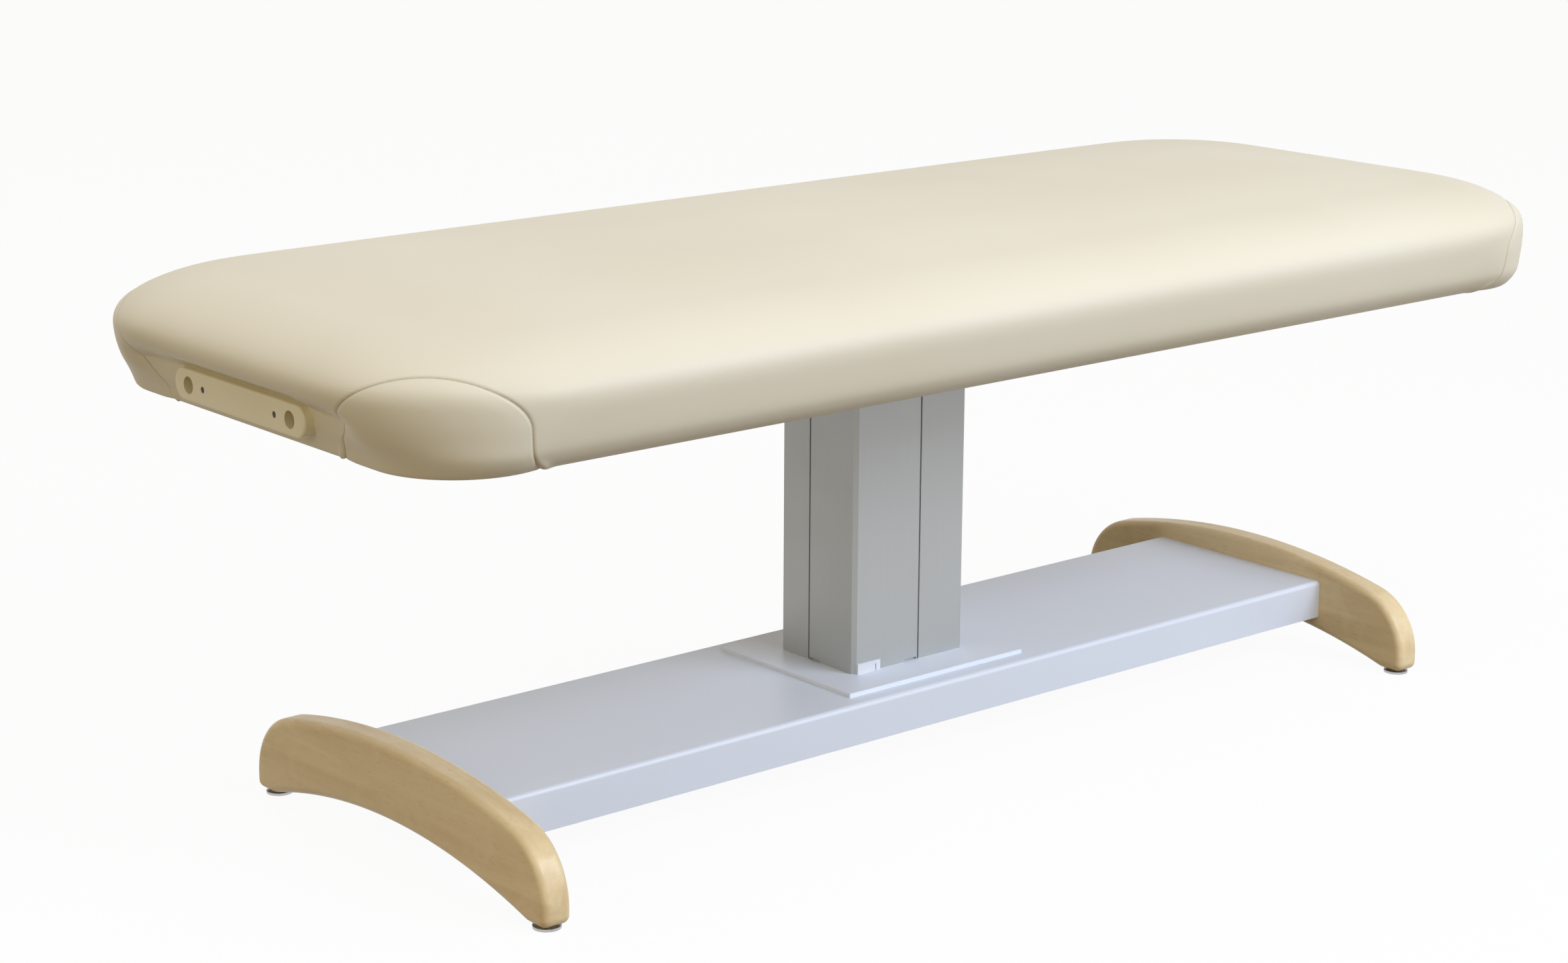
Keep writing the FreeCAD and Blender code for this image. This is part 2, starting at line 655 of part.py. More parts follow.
# Outer column: an aluminium extrusion with screw ports inside and narrow grooves outside
outer_shell = chamfered_tube("outer_shell", [("column_length", "column_width", "column_chamfer"),
                                             (room_length, room_width,
                                              "column_chamfer - (2 - sqrt(2)) * column_wall")],
                             "column_height", plate_top)
outer_ports = [("%d * (%s / 2 - port_inset)" % (sx, room_length),
                "%d * (%s / 2 - port_inset)" % (sy, room_width)) for sx, sy in CORNERS.values()]
outer_trim = chamfered_tube("outer_trim", [("column_length", "column_width", "column_chamfer")],
                            "column_height", plate_top)
outer_bosses = [common(rod("port_radius", "column_height", x, y, plate_top), outer_trim)
                for x, y in outer_ports]
grooves = []
for side in SIDES.values():
    grooves.append(block("groove_width", "2 * groove_depth", "column_height", "%d * groove_along" % -side,
                         "%d * column_width / 2" % side, plate_top))
    grooves.append(block("2 * groove_depth", "groove_width", "column_height", "%d * column_length / 2" % side,
                         "%d * groove_across" % -side, plate_top))
    grooves.append(block("notch_length", "2 * notch_depth", "notch_height",
                         "%d * (groove_along - groove_width - notch_length / 2)" % -side,
                         "%d * column_width / 2" % side, plate_top))
    grooves.append(block("2 * notch_depth", "notch_length", "notch_height", "%d * column_length / 2" % side,
                         "%d * (groove_across - groove_width - notch_length / 2)" % -side, plate_top))
port_bores = [rod("port_bore", "column_height", x, y, plate_top) for x, y in outer_ports]
subpart("outer_column", cut(fuse([outer_shell] + outer_bosses), grooves + port_bores))

ring_hollow = (inner_length + " + 2 * run_gap", inner_width + " + 2 * run_gap", "inner_chamfer")
upper_ring = chamfered_tube("upper_ring", [(room_length, room_width, "guide_chamfer"), ring_hollow],
                            "guide_height", column_top + " - guide_height")
upper_flange = chamfered_tube("upper_flange", [("column_length", "column_width", "column_chamfer"),
                                               ring_hollow], "guide_flange", column_top)
subpart("upper_guide_ring", fuse([upper_ring, upper_flange]))

clip_x = "(-column_length / 2 + column_chamfer + clip_length / 2)"
clip_y = "(-column_width / 2 - clip_thick / 2)"
clip_plate = block("clip_length", "clip_thick", "clip_height", clip_x, clip_y, plate_top)
clip_gap = block("clip_slit", "clip_thick", "clip_slit_height",
                 clip_x + " + clip_length / 2 - clip_slit_inset", clip_y, plate_top)
subpart("column_clip", cut(clip_plate, [clip_gap]))

# Column base plate with weld studs, its nuts and the screws into the column and the gearbox
stud_spots = [("%d * (plate_length / 2 - stud_inset)" % sx, "%d * (plate_width / 2 - stud_inset)" % sy)
              for sx, sy in CORNERS.values()]
stud_length = "(beam_wall + bolt_head_height + stud_spare)"
plate_blank = block("plate_length", "plate_width", "plate_thick", z=beam_top)
document.recompute()
plate_face = plate_blank.Shape.BoundBox.ZMax
plate_rim = [i + 1 for i, edge in enumerate(plate_blank.Shape.Edges)
             if edge.BoundBox.ZMin > plate_face - size("plate_round")]
plate_slab = document.addObject("Part::Fillet", "plate_slab")
plate_slab.Base = plate_blank
plate_slab.Edges = [(i, size("plate_round"), size("plate_round")) for i in plate_rim]
studs = [rod("bolt_radius", stud_length, x, y, beam_top, "-z") for x, y in stud_spots]
cable_hole = "cable_radius + cable_gap"
plate_holes = [rod("screw_radius + hole_gap", "plate_thick", x, y, beam_top)
               for x, y in outer_ports + drive_spots]
plate_holes.append(rod(cable_hole, "plate_thick", "cable_in", "cable_side", beam_top))
subpart("column_base_plate", cut(fuse([plate_slab] + studs), plate_holes))
nut_z = "%s - beam_wall - bolt_head_height" % beam_top
subpart("plate_nuts", group([cut(rod("bolt_head_radius", "bolt_head_height", x, y, nut_z),
                                 [rod("bolt_radius + thread_gap", "bolt_head_height", x, y, nut_z)])
                             for x, y in stud_spots]))
subpart("column_screws", group([bolt("screw", "plate_thick + screw_reach", x, y, beam_top, "+z")
                                for x, y in outer_ports]))
subpart("gearbox_screws", group([bolt("screw", "plate_thick + screw_reach", x, y, beam_top, "+z")
                                 for x, y in drive_spots]))

# Base beam: a folded steel channel with turned-in lips and round bends
beam_inner = "(beam_width - 2 * beam_wall)"


def bent_bar(width, height, bend, z):
    # a long bar whose upper long edges are rounded by the bend
    return fuse([block("beam_length", width, "%s - %s" % (height, bend), z=z),
                 block("beam_length", "%s - 2 * (%s)" % (width, bend), height, z=z)]
                + [rod(bend, "beam_length", "-beam_length / 2", "%d * (%s / 2 - (%s))" % (side, width, bend),
                       "%s + %s - (%s)" % (z, height, bend), "+x") for side in SIDES.values()])


beam_outside = bent_bar("beam_width", "beam_height", "beam_bend", "beam_clear")
beam_inside = bent_bar(beam_inner, "(beam_height - 2 * beam_wall)", "(beam_bend - beam_wall)",
                       "(beam_clear + beam_wall)")
beam_slot = block("beam_length", beam_inner + " - 2 * beam_lip", "beam_wall", z="beam_clear")
head_room = "screw_head_radius + hole_gap"
box_top = "(%s - beam_wall)" % beam_top
top_holes = [rod(head_room, "beam_wall", x, y, box_top) for x, y in outer_ports + drive_spots]
top_holes += [rod("bolt_radius + hole_gap", "beam_wall", x, y, box_top) for x, y in stud_spots]
top_holes.append(rod(cable_hole, "beam_wall", "cable_in", "cable_side", box_top))
box_middle_z = "(%s - beam_wall - box_height / 2)" % beam_top
inlet_x = "(box_offset + inlet_offset)"
socket_x = "(box_offset + socket_offset)"
wall_y = "(beam_width / 2 - beam_wall / 2)"
top_holes.append(block("inlet_length + 2 * thread_gap", "beam_wall", "inlet_height + 2 * thread_gap", inlet_x,
                       wall_y, "%s - inlet_height / 2 - thread_gap" % box_middle_z))
top_holes.append(rod("socket_radius + thread_gap", "beam_wall", socket_x, "beam_width / 2 - beam_wall",
                     box_middle_z, "+y"))
belly_spots = [("%d * belly_screw_step" % step, "%d * (%s / 2 - beam_lip / 2)" % (side, beam_inner))
               for step in (-1, 0, 1) for side in SIDES.values()]
top_holes += [rod("small_screw_radius + thread_gap", "beam_wall", x, y, "beam_clear") for x, y in belly_spots]
subpart("base_beam", cut(beam_outside, [beam_inside, beam_slot] + top_holes))

belly = block("beam_length - 2 * belly_margin", "beam_width - 2 * belly_margin", "belly_thick",
              z="beam_clear - belly_thick")
subpart("beam_belly_cover", cut(belly, [rod("small_screw_radius + thread_gap", "belly_thick", x, y,
                                            "beam_clear - belly_thick") for x, y in belly_spots]))
subpart("belly_screws", group([bolt("small_screw", "small_screw_reach", x, y, "beam_clear - belly_thick",
                                    "+z") for x, y in belly_spots]))

foot_bolt_z = "(beam_clear + beam_height / 2)"
bolt_ys = [side + " * " + offset for side in ("-1", "1") for offset in ("foot_bolt_inner", "foot_bolt_outer")]
end_bolts = []
end_inserts = []
end_plate_height = "(beam_height - 2 * beam_wall)"
insert_tools = {}
for name, end in ENDS.items():
    outward = "+x" if end > 0 else "-x"
    face = "%d * beam_length / 2" % end
    plate = block("end_plate_thick", beam_inner + " - 2 * (beam_bend - beam_wall)", end_plate_height,
                  "%d * (beam_length / 2 - end_plate_thick / 2)" % end, "0", "beam_clear + beam_wall")
    seat = "%d * (beam_length / 2 - end_plate_thick)" % end
    subpart("beam_end_plate_" + name,
            cut(plate, [rod("bolt_radius + hole_gap", "end_plate_thick", seat, y, foot_bolt_z, outward)
                        for y in bolt_ys]))
    end_bolts += [bolt("bolt", "end_plate_thick + bolt_reach", seat, y, foot_bolt_z, outward)
                  for y in bolt_ys]
    end_inserts += [cut(rod("insert_radius", "insert_length", face, y, foot_bolt_z, outward),
                        [rod("bolt_radius + thread_gap", "insert_length", face, y, foot_bolt_z, outward)])
                    for y in bolt_ys]
    insert_tools[name] = [rod("insert_radius", "insert_length", face, y, foot_bolt_z, outward)
                          for y in bolt_ys]
subpart("foot_bolts", group(end_bolts))
subpart("foot_inserts", group(end_inserts))


# Wooden feet: an arched outline of tangent arcs, with all long edges rounded over
def foot_outline():
    half = size("foot_length") / 2
    top = size("foot_top")
    seat = size("foot_seat")
    top_r = size("foot_top_radius")
    end_r = size("foot_end_radius")
    toe_r = size("foot_toe_radius")
    arch_r = size("arch_radius")
    blend_r = size("arch_blend")
    end_y = half - end_r
    end_z = top - top_r + math.sqrt((top_r - end_r) ** 2 - end_y ** 2)
    tilt = math.atan2(end_y, end_z - (top - top_r))
    arch_z = seat + size("arch_rise") - arch_r
    blend_y = math.sqrt((arch_r + blend_r) ** 2 - (seat + blend_r - arch_z) ** 2)
    lean = math.atan2(blend_y, seat + blend_r - arch_z)

    def at(y, z, radius, angle):
        # the point of a circle at an angle from straight up
        return FreeCAD.Vector(0, y + radius * math.sin(angle), z + radius * math.cos(angle))

    def mirrored(point):
        return FreeCAD.Vector(0, -point.y, point.z)

    shoulder = at(0, top - top_r, top_r, tilt)
    elbow = at(end_y, end_z, end_r, (tilt + math.pi / 2) / 2)
    side_top = FreeCAD.Vector(0, half, end_z)
    side_low = FreeCAD.Vector(0, half, seat + toe_r)
    toe_mid = at(half - toe_r, seat + toe_r, toe_r, 0.75 * math.pi)
    toe_end = FreeCAD.Vector(0, half - toe_r, seat)
    seat_end = FreeCAD.Vector(0, blend_y, seat)
    blend_mid = at(blend_y, seat + blend_r, blend_r, math.pi + lean / 2)
    arch_start = at(0, arch_z, arch_r, lean)
    right = [Part.Arc(shoulder, elbow, side_top), Part.LineSegment(side_top, side_low),
             Part.Arc(side_low, toe_mid, toe_end), Part.LineSegment(toe_end, seat_end),
             Part.Arc(seat_end, blend_mid, arch_start)]
    left = [Part.Arc(mirrored(arch_start), mirrored(blend_mid), mirrored(seat_end)),
            Part.LineSegment(mirrored(seat_end), mirrored(toe_end)),
            Part.Arc(mirrored(toe_end), mirrored(toe_mid), mirrored(side_low)),
            Part.LineSegment(mirrored(side_low), mirrored(side_top)),
            Part.Arc(mirrored(side_top), mirrored(elbow), mirrored(shoulder))]
    crown = Part.Arc(mirrored(shoulder), FreeCAD.Vector(0, 0, top), shoulder)
    hollow = Part.Arc(arch_start, FreeCAD.Vector(0, 0, arch_z + arch_r), mirrored(arch_start))
    return Part.Wire([edge.toShape() for edge in [crown] + right + [hollow] + left])


glide_sockets = []
glide_nuts = []
for name, end in ENDS.items():
    outline = formed(foot_outline())
    foot_slab = document.addObject("Part::Extrusion", "foot_slab")
    foot_slab.Base = outline
    foot_slab.DirMode = "Custom"
    foot_slab.Dir = FreeCAD.Vector(1, 0, 0)
    foot_slab.Solid = True
    bind(foot_slab, LengthFwd="foot_thick")
    place(foot_slab, "%d * (beam_length / 2 + foot_thick / 2) - foot_thick / 2" % end)
    document.recompute()
    rims = [i + 1 for i, edge in enumerate(foot_slab.Shape.Edges)
            if abs(edge.BoundBox.XLength) < 1e-6]
    rounded = document.addObject("Part::Fillet", "foot_rounded")
    rounded.Base = foot_slab
    rounded.Edges = [(i, size("foot_round"), size("foot_round")) for i in rims]
    middle_x = "%d * (beam_length / 2 + foot_thick / 2)" % end
    glide_holes = [rod("glide_nut_radius", "glide_nut_length", middle_x, "%d * glide_spacing / 2" % side,
                       "foot_seat") for side in SIDES.values()]
    subpart("foot_" + name, cut(rounded, insert_tools[name] + glide_holes))
    for side_name, side in SIDES.items():
        y = "%d * glide_spacing / 2" % side
        glide_nuts.append(cut(rod("glide_nut_radius", "glide_nut_length", middle_x, y, "foot_seat"),
                              [rod("glide_stem + thread_gap", "glide_nut_length", middle_x, y, "foot_seat")]))
        pad = [rod("glide_radius", "glide_rim", middle_x, y, "0"),
               cone("glide_radius", "glide_neck_radius", "glide_cone", middle_x, y, "glide_rim"),
               rod("glide_neck_radius", "foot_seat - glide_gap - glide_rim - glide_cone", middle_x, y,
                   "glide_rim + glide_cone"),
               rod("glide_stem", "glide_stem_length + glide_gap", middle_x, y, "foot_seat - glide_gap")]
        subpart("glide_%s_%s" % (name, side_name), fuse(pad))
subpart("glide_nuts", group(glide_nuts))

# Control box under the beam's top with the mains inlet and the pedal socket in the back wall
box_y = "(beam_width / 2 - beam_bend - box_width / 2)"
box_x = "(box_offset + box_length / 2)"
box_bottom = "(%s - box_height)" % box_top
box_case = block("box_length", "box_width", "box_height", box_x, box_y, box_bottom)
box_room = block("box_length - 2 * box_wall", "box_width - 2 * box_wall", "box_height - box_wall", box_x,
                 box_y, box_bottom)
box_inner_y = "(beam_width / 2 - beam_bend - box_wall)"
inlet_cut = block("inlet_length + 2 * thread_gap", "box_wall", "inlet_height + 2 * thread_gap", inlet_x,
                  box_inner_y + " + box_wall / 2", "%s - inlet_height / 2 - thread_gap" % box_middle_z)
socket_cut = rod("socket_radius + thread_gap", "box_wall", socket_x, box_inner_y, box_middle_z, "+y")
cable_z = "(%s - beam_wall - cable_bend)" % beam_top
cable_cut = rod("cable_radius + thread_gap", "box_wall", "box_offset", "cable_side", cable_z, "+x")
subpart("control_box", cut(box_case, [box_room, inlet_cut, socket_cut, cable_cut]))
subpart("control_box_lid", block("box_length", "box_width", "box_wall", box_x, box_y,
                                 box_bottom + " - box_wall"))
subpart("control_board", block("box_length - 2 * box_wall", "box_width - 2 * box_wall - inlet_depth",
                               "board_thick", box_x, "%s - inlet_depth / 2" % box_y, box_bottom))

inlet_front = "beam_width / 2"
inlet_body = block("inlet_length", "inlet_depth", "inlet_height", inlet_x, inlet_front + " - inlet_depth / 2",
                   "%s - inlet_height / 2" % box_middle_z)
inlet_rim = block("inlet_length + 2 * inlet_flange", "inlet_flange_thick", "inlet_height + 2 * inlet_flange",
                  inlet_x, inlet_front + " + inlet_flange_thick / 2",
                  "%s - inlet_height / 2 - inlet_flange" % box_middle_z)
inlet_mouth = block("inlet_length - 2 * inlet_wall", "inlet_recess", "inlet_height - 2 * inlet_wall", inlet_x,
                    inlet_front + " + inlet_flange_thick - inlet_recess / 2",
                    "%s - inlet_height / 2 + inlet_wall" % box_middle_z)
pins = [block("pin_thick", "pin_length", "pin_width", "%s + %d * pin_spacing" % (inlet_x, step),
              inlet_front + " + inlet_flange_thick - inlet_recess + pin_length / 2",
              "%s - pin_width / 2" % box_middle_z) for step in (-1, 0, 1)]
subpart("mains_inlet", fuse([cut(fuse([inlet_body, inlet_rim]), [inlet_mouth])] + pins))

socket_body = fuse([rod("socket_radius", "socket_depth", socket_x, inlet_front, box_middle_z, "-y"),
                    rod("socket_radius + inlet_flange", "inlet_flange_thick", socket_x, inlet_front,
                        box_middle_z, "+y")])
socket_mouth = rod("socket_bore", "socket_recess", socket_x, inlet_front + " + inlet_flange_thick",
                   box_middle_z, "-y")
subpart("pedal_socket", cut(socket_body, [socket_mouth]))

# Motor cable: along the beam from the control box, then up into the gearbox
bend = size("cable_bend")
cable_height = BEAM_TOP - size("beam_wall") - bend
start = FreeCAD.Vector(size("box_offset") + size("box_wall"), size("cable_side"), cable_height)
turn_in = FreeCAD.Vector(size("cable_in") + bend, size("cable_side"), cable_height)
turn_out = FreeCAD.Vector(size("cable_in"), size("cable_side"), cable_height + bend)
turn_mid = FreeCAD.Vector(turn_in.x - bend * math.sin(math.pi / 4), turn_in.y,
                          cable_height + bend * (1 - math.cos(math.pi / 4)))
finish = FreeCAD.Vector(turn_out.x, turn_out.y, BEAM_TOP + size("plate_thick"))
route = Part.Wire([Part.LineSegment(start, turn_in).toShape(),
                   Part.Arc(turn_in, turn_mid, turn_out).toShape(),
                   Part.LineSegment(turn_out, finish).toShape()])
ring = Part.Wire([Part.Circle(start, FreeCAD.Vector(1, 0, 0), size("cable_radius")).toShape()])
subpart("motor_cable", formed(route.makePipeShell([ring], True, False)))

document.recompute()
faults = [thing.Name + " " + str(thing.State) for thing in document.Objects
          if "Invalid" in thing.State or "Error" in thing.State]
for thing in subparts:
    if thing.Shape.isNull() or not thing.Shape.isValid():
        faults.append(thing.Label + " has no valid shape")
    if not thing.Shape.Solids:
        faults.append(thing.Label + " has no solid")
if faults:
    raise SystemExit("\n".join(faults))

os.makedirs("parts", exist_ok=True)
for thing in subparts:
    thing.Shape.exportStep("parts/%s.step" % thing.Label)
    print("%s: %d solids, %.0f mm3" % (thing.Label, len(thing.Shape.Solids), thing.Shape.Volume))
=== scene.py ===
import bpy
import bmesh
import json
import math
import numpy as np
from mathutils import Matrix, Vector


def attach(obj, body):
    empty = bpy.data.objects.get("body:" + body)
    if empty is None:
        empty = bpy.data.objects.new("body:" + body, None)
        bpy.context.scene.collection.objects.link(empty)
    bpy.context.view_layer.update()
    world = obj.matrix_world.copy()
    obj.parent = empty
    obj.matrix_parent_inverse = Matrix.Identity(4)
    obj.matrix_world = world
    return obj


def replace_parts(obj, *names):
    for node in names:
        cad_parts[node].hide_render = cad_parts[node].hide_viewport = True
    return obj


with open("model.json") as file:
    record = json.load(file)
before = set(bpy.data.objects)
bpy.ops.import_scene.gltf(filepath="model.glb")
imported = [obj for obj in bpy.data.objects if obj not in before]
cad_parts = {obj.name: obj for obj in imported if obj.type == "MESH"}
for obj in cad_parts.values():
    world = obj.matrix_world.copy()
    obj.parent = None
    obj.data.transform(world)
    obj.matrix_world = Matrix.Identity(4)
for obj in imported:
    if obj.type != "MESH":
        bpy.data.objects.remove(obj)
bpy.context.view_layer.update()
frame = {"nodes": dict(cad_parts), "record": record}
scene = bpy.context.scene
bpy.ops.object.select_all(action="DESELECT")
print("frame loaded:", len(frame["nodes"]), "nodes")


def newFinish(name):
    material = bpy.data.materials.new(name)
    material.use_nodes = True
    shader = material.node_tree.nodes["Principled BSDF"]
    coords = material.node_tree.nodes.new("ShaderNodeTexCoord")
    return material, material.node_tree, shader, coords.outputs["Object"]


def setSockets(shader, **values):
    for name, value in values.items():
        shader.inputs[name.replace("_", " ")].default_value = value


def stretched(tree, vector, scale, turn=(0, 0, 0)):
    mapping = tree.nodes.new("ShaderNodeMapping")
    mapping.inputs["Scale"].default_value = scale
    mapping.inputs["Rotation"].default_value = turn
    tree.links.new(vector, mapping.inputs["Vector"])
    return mapping.outputs["Vector"]


def noise(tree, vector, scale, detail=2.0, rough=0.5, twist=0.0):
    node = tree.nodes.new("ShaderNodeTexNoise")
    for name, number in zip(("Scale", "Detail", "Roughness", "Distortion"), (scale, detail, rough, twist)):
        node.inputs[name].default_value = number
    tree.links.new(vector, node.inputs["Vector"])
    return node.outputs["Fac"]


def spread(tree, value, low, high, toLow=0.0, toHigh=1.0):
    node = tree.nodes.new("ShaderNodeMapRange")
    for name, number in zip(("From Min", "From Max", "To Min", "To Max"), (low, high, toLow, toHigh)):
        node.inputs[name].default_value = number
    tree.links.new(value, node.inputs["Value"])
    return node.outputs["Result"]


def blendColour(tree, fac, first, second):
    node = tree.nodes.new("ShaderNodeMix")
    node.data_type = "RGBA"
    sockets = [socket for socket in node.inputs if socket.type == "RGBA"]
    for socket, colour in zip(sockets, (first, second)):
        if isinstance(colour, tuple):
            socket.default_value = (*colour, 1.0)
        else:
            tree.links.new(colour, socket)
    tree.links.new(fac, node.inputs["Factor"])
    return [socket for socket in node.outputs if socket.type == "RGBA"][0]


def bumped(tree, shader, height, strength, distance):
    node = tree.nodes.new("ShaderNodeBump")
    node.inputs["Strength"].default_value = strength
    node.inputs["Distance"].default_value = distance
    tree.links.new(height, node.inputs["Height"])
    tree.links.new(node.outputs["Normal"], shader.inputs["Normal"])


def makeHandling():  # soft clouds and fine specks that most finishes carry a little of
    group = bpy.data.node_groups.new("handling", "ShaderNodeTree")
    sockets = (("Vector", "NodeSocketVector"), ("Cloud Scale", "NodeSocketFloat"),
               ("Speck Scale", "NodeSocketFloat"))
    for label, kind in sockets:
        group.interface.new_socket(label, in_out="INPUT", socket_type=kind)
    for label in ("Cloud", "Specks"):
        group.interface.new_socket(label, in_out="OUTPUT", socket_type="NodeSocketFloat")
    start = group.nodes.new("NodeGroupInput")
    end = group.nodes.new("NodeGroupOutput")
    ranges = (("Cloud", "Cloud Scale", 3.0, 0.3, 0.7), ("Specks", "Speck Scale", 1.0, 0.62, 0.74))
    for label, scale, detail, low, high in ranges:
        texture = group.nodes.new("ShaderNodeTexNoise")
        texture.inputs["Detail"].default_value = detail
        group.links.new(start.outputs["Vector"], texture.inputs["Vector"])
        group.links.new(start.outputs[scale], texture.inputs["Scale"])
        group.links.new(spread(group, texture.outputs["Fac"], low, high), end.inputs[label])
    return group


handling = makeHandling()


def handled(tree, vector, cloudScale, speckScale=600.0):
    node = tree.nodes.new("ShaderNodeGroup")
    node.node_tree = handling
    tree.links.new(vector, node.inputs["Vector"])
    node.inputs["Cloud Scale"].default_value = cloudScale
    node.inputs["Speck Scale"].default_value = speckScale
    return node.outputs["Cloud"], node.outputs["Specks"]


midTones = (0.3, 0.7)  # the part of a noise that carries most of its pattern

# the seam colour is painted shade for the seam grooves, mixed in up to the seam share
vinylSpec = {"colour": (0.800, 0.742, 0.592), "deep": (0.770, 0.705, 0.548), "seamGrooveShade": (0.30, 0.22, 0.12),
             "grooveShadeStrength": 0.55, "cloudScale": 2.2, "grain": 620.0, "grainShare": 0.35, "waves": 38.0,
             "bump": (0.12, 0.0006), "rough": (0.45, 0.53), "specular": 0.34}


def makeVinyl():
    material, tree, shader, where = newFinish("ivoryVinyl")
    cloud = handled(tree, where, vinylSpec["cloudScale"])[0]
    colour = blendColour(tree, cloud, vinylSpec["colour"], vinylSpec["deep"])
    # painted shade: the colour darkens along the seam lines, standing in for the groove's shadow
    seamGrooveShade = tree.nodes.new("ShaderNodeAttribute")
    seamGrooveShade.attribute_name = "seamGrooveShade"
    sewn = spread(tree, seamGrooveShade.outputs["Fac"], 0.0, 1.0, 0.0, vinylSpec["grooveShadeStrength"])
    tree.links.new(blendColour(tree, sewn, colour, vinylSpec["seamGrooveShade"]), shader.inputs["Base Color"])
    cells = tree.nodes.new("ShaderNodeTexVoronoi")  # pebbled embossing
    cells.inputs["Scale"].default_value = vinylSpec["grain"]
    tree.links.new(where, cells.inputs["Vector"])
    height = tree.nodes.new("ShaderNodeMath")
    height.operation = "MULTIPLY_ADD"
    height.inputs[1].default_value = vinylSpec["grainShare"]
    tree.links.new(cells.outputs["Distance"], height.inputs[0])
    tree.links.new(noise(tree, where, vinylSpec["waves"]), height.inputs[2])
    bumped(tree, shader, height.outputs["Value"], *vinylSpec["bump"])
    tree.links.new(spread(tree, cloud, 0.0, 1.0, *vinylSpec["rough"]), shader.inputs["Roughness"])
    setSockets(shader, Specular_IOR_Level=vinylSpec["specular"])
    return material


mapleSpec = {
    "pale": (0.975, 0.800, 0.480), "dark": (0.790, 0.605, 0.328), "fleck": (0.45, 0.25, 0.09),
    "figure": (0.980, 0.830, 0.530), "blush": (0.820, 0.605, 0.360),
    "ringStretch": (1.0, 0.055, 1.0), "ringTurn": (0.0, 0.0, 0.02), "ringNoise": (42.0, 4.0, 0.55, 0.6),
    "figureStretch": (6.0, 9.0, 8.0), "figureTurn": (0.5, 0.0, 0.0), "figureNoise": (2.4, 3.0, 0.6, 0.8),
    "figureShare": (0.5, 0.72, 0.0, 0.45), "fleckStretch": (1.0, 0.07, 1.0), "fleckNoise": (820.0, 1.0),
    "fleckShare": (0.63, 0.75, 0.0, 0.35), "cloudScale": 5.0, "blushShare": 0.3, "rough": (0.46, 0.36),
    "bump": (0.05, 0.0003), "coat": 0.2, "coatRough": 0.14, "specular": 0.25,
}


def makeMaple():
    spec = mapleSpec
    material, tree, shader, where = newFinish("lacqueredMaple")
    along = stretched(tree, where, spec["ringStretch"], spec["ringTurn"])
    rings = noise(tree, along, *spec["ringNoise"])
    colour = blendColour(tree, spread(tree, rings, *midTones), spec["dark"], spec["pale"])
    waves = stretched(tree, where, spec["figureStretch"], spec["figureTurn"])
    figure = spread(tree, noise(tree, waves, *spec["figureNoise"]), *spec["figureShare"])
    colour = blendColour(tree, figure, colour, spec["figure"])
    flecks = noise(tree, stretched(tree, where, spec["fleckStretch"]), *spec["fleckNoise"])
    colour = blendColour(tree, spread(tree, flecks, *spec["fleckShare"]), colour, spec["fleck"])
    cloud = handled(tree, where, spec["cloudScale"])[0]
    colour = blendColour(tree, spread(tree, cloud, 0.0, 1.0, 0.0, spec["blushShare"]), colour, spec["blush"])
    tree.links.new(colour, shader.inputs["Base Color"])
    tree.links.new(spread(tree, rings, *midTones, *spec["rough"]), shader.inputs["Roughness"])
    bumped(tree, shader, flecks, *spec["bump"])
    setSockets(shader, Coat_Weight=spec["coat"], Coat_Roughness=spec["coatRough"],
               Specular_IOR_Level=spec["specular"])
    return material


coatSpec = {"cloudScale": 4.0, "speckScale": 900.0, "peel": 420.0, "bump": (0.07, 0.0005), "rougher": 0.12}


def makeCoat(name, colour, other, rough):  # sprayed and baked paint with an orange-peel skin
    spec = coatSpec
    material, tree, shader, where = newFinish(name)
    cloud, specks = handled(tree, where, spec["cloudScale"], spec["speckScale"])
    tree.links.new(blendColour(tree, cloud, colour, other), shader.inputs["Base Color"])
    bumped(tree, shader, noise(tree, where, spec["peel"]), *spec["bump"])
    tree.links.new(spread(tree, specks, 0.0, 1.0, rough, rough + spec["rougher"]), shader.inputs["Roughness"])
    return material


metalSpec = {"streakNoise": (1.0, 3.0, 0.6), "cloudScale": 6.0, "bump": (0.04, 0.0002), "rougher": 0.08}


def makeMetal(name, colour, other, rough, lines, metallic):  # lines stretches the drawing marks
    spec = metalSpec
    material, tree, shader, where = newFinish(name)
    streaks = noise(tree, stretched(tree, where, lines), *spec["streakNoise"])
    tree.links.new(blendColour(tree, spread(tree, streaks, *midTones), colour, other),
                   shader.inputs["Base Color"])
    cloud = handled(tree, where, spec["cloudScale"])[0]
    tree.links.new(spread(tree, cloud, 0.0, 1.0, rough, rough + spec["rougher"]), shader.inputs["Roughness"])
    bumped(tree, shader, streaks, *spec["bump"])
    setSockets(shader, Metallic=metallic)
    return material


plasticSpec = {"cloudScale": 9.0, "bump": (0.08, 0.0003), "rougher": 0.1}


def makePlastic(name, colour, other, rough, grain=700.0):  # plastic, foam, board or rubber with a fine skin
    spec = plasticSpec
    material, tree, shader, where = newFinish(name)
    cloud, specks = handled(tree, where, spec["cloudScale"])
    tree.links.new(blendColour(tree, cloud, colour, other), shader.inputs["Base Color"])
    bumped(tree, shader, noise(tree, where, grain, 1.0), *spec["bump"])
    tree.links.new(spread(tree, specks, 0.0, 1.0, rough, rough + spec["rougher"]), shader.inputs["Roughness"])
    return material


plywoodSpec = {
    "pale": (0.60, 0.43, 0.24), "dark": (0.47, 0.31, 0.16), "figure": (0.66, 0.48, 0.28), "plies": 130.0,
    "wander": 0.4, "figureStretch": (0.08, 1.0, 1.0), "figureNoise": (55.0, 4.0, 0.6, 0.5),
    "figureShare": (0.35, 0.7, 0.0, 0.6), "bump": (0.08, 0.0005), "rough": (0.55, 0.7),
}


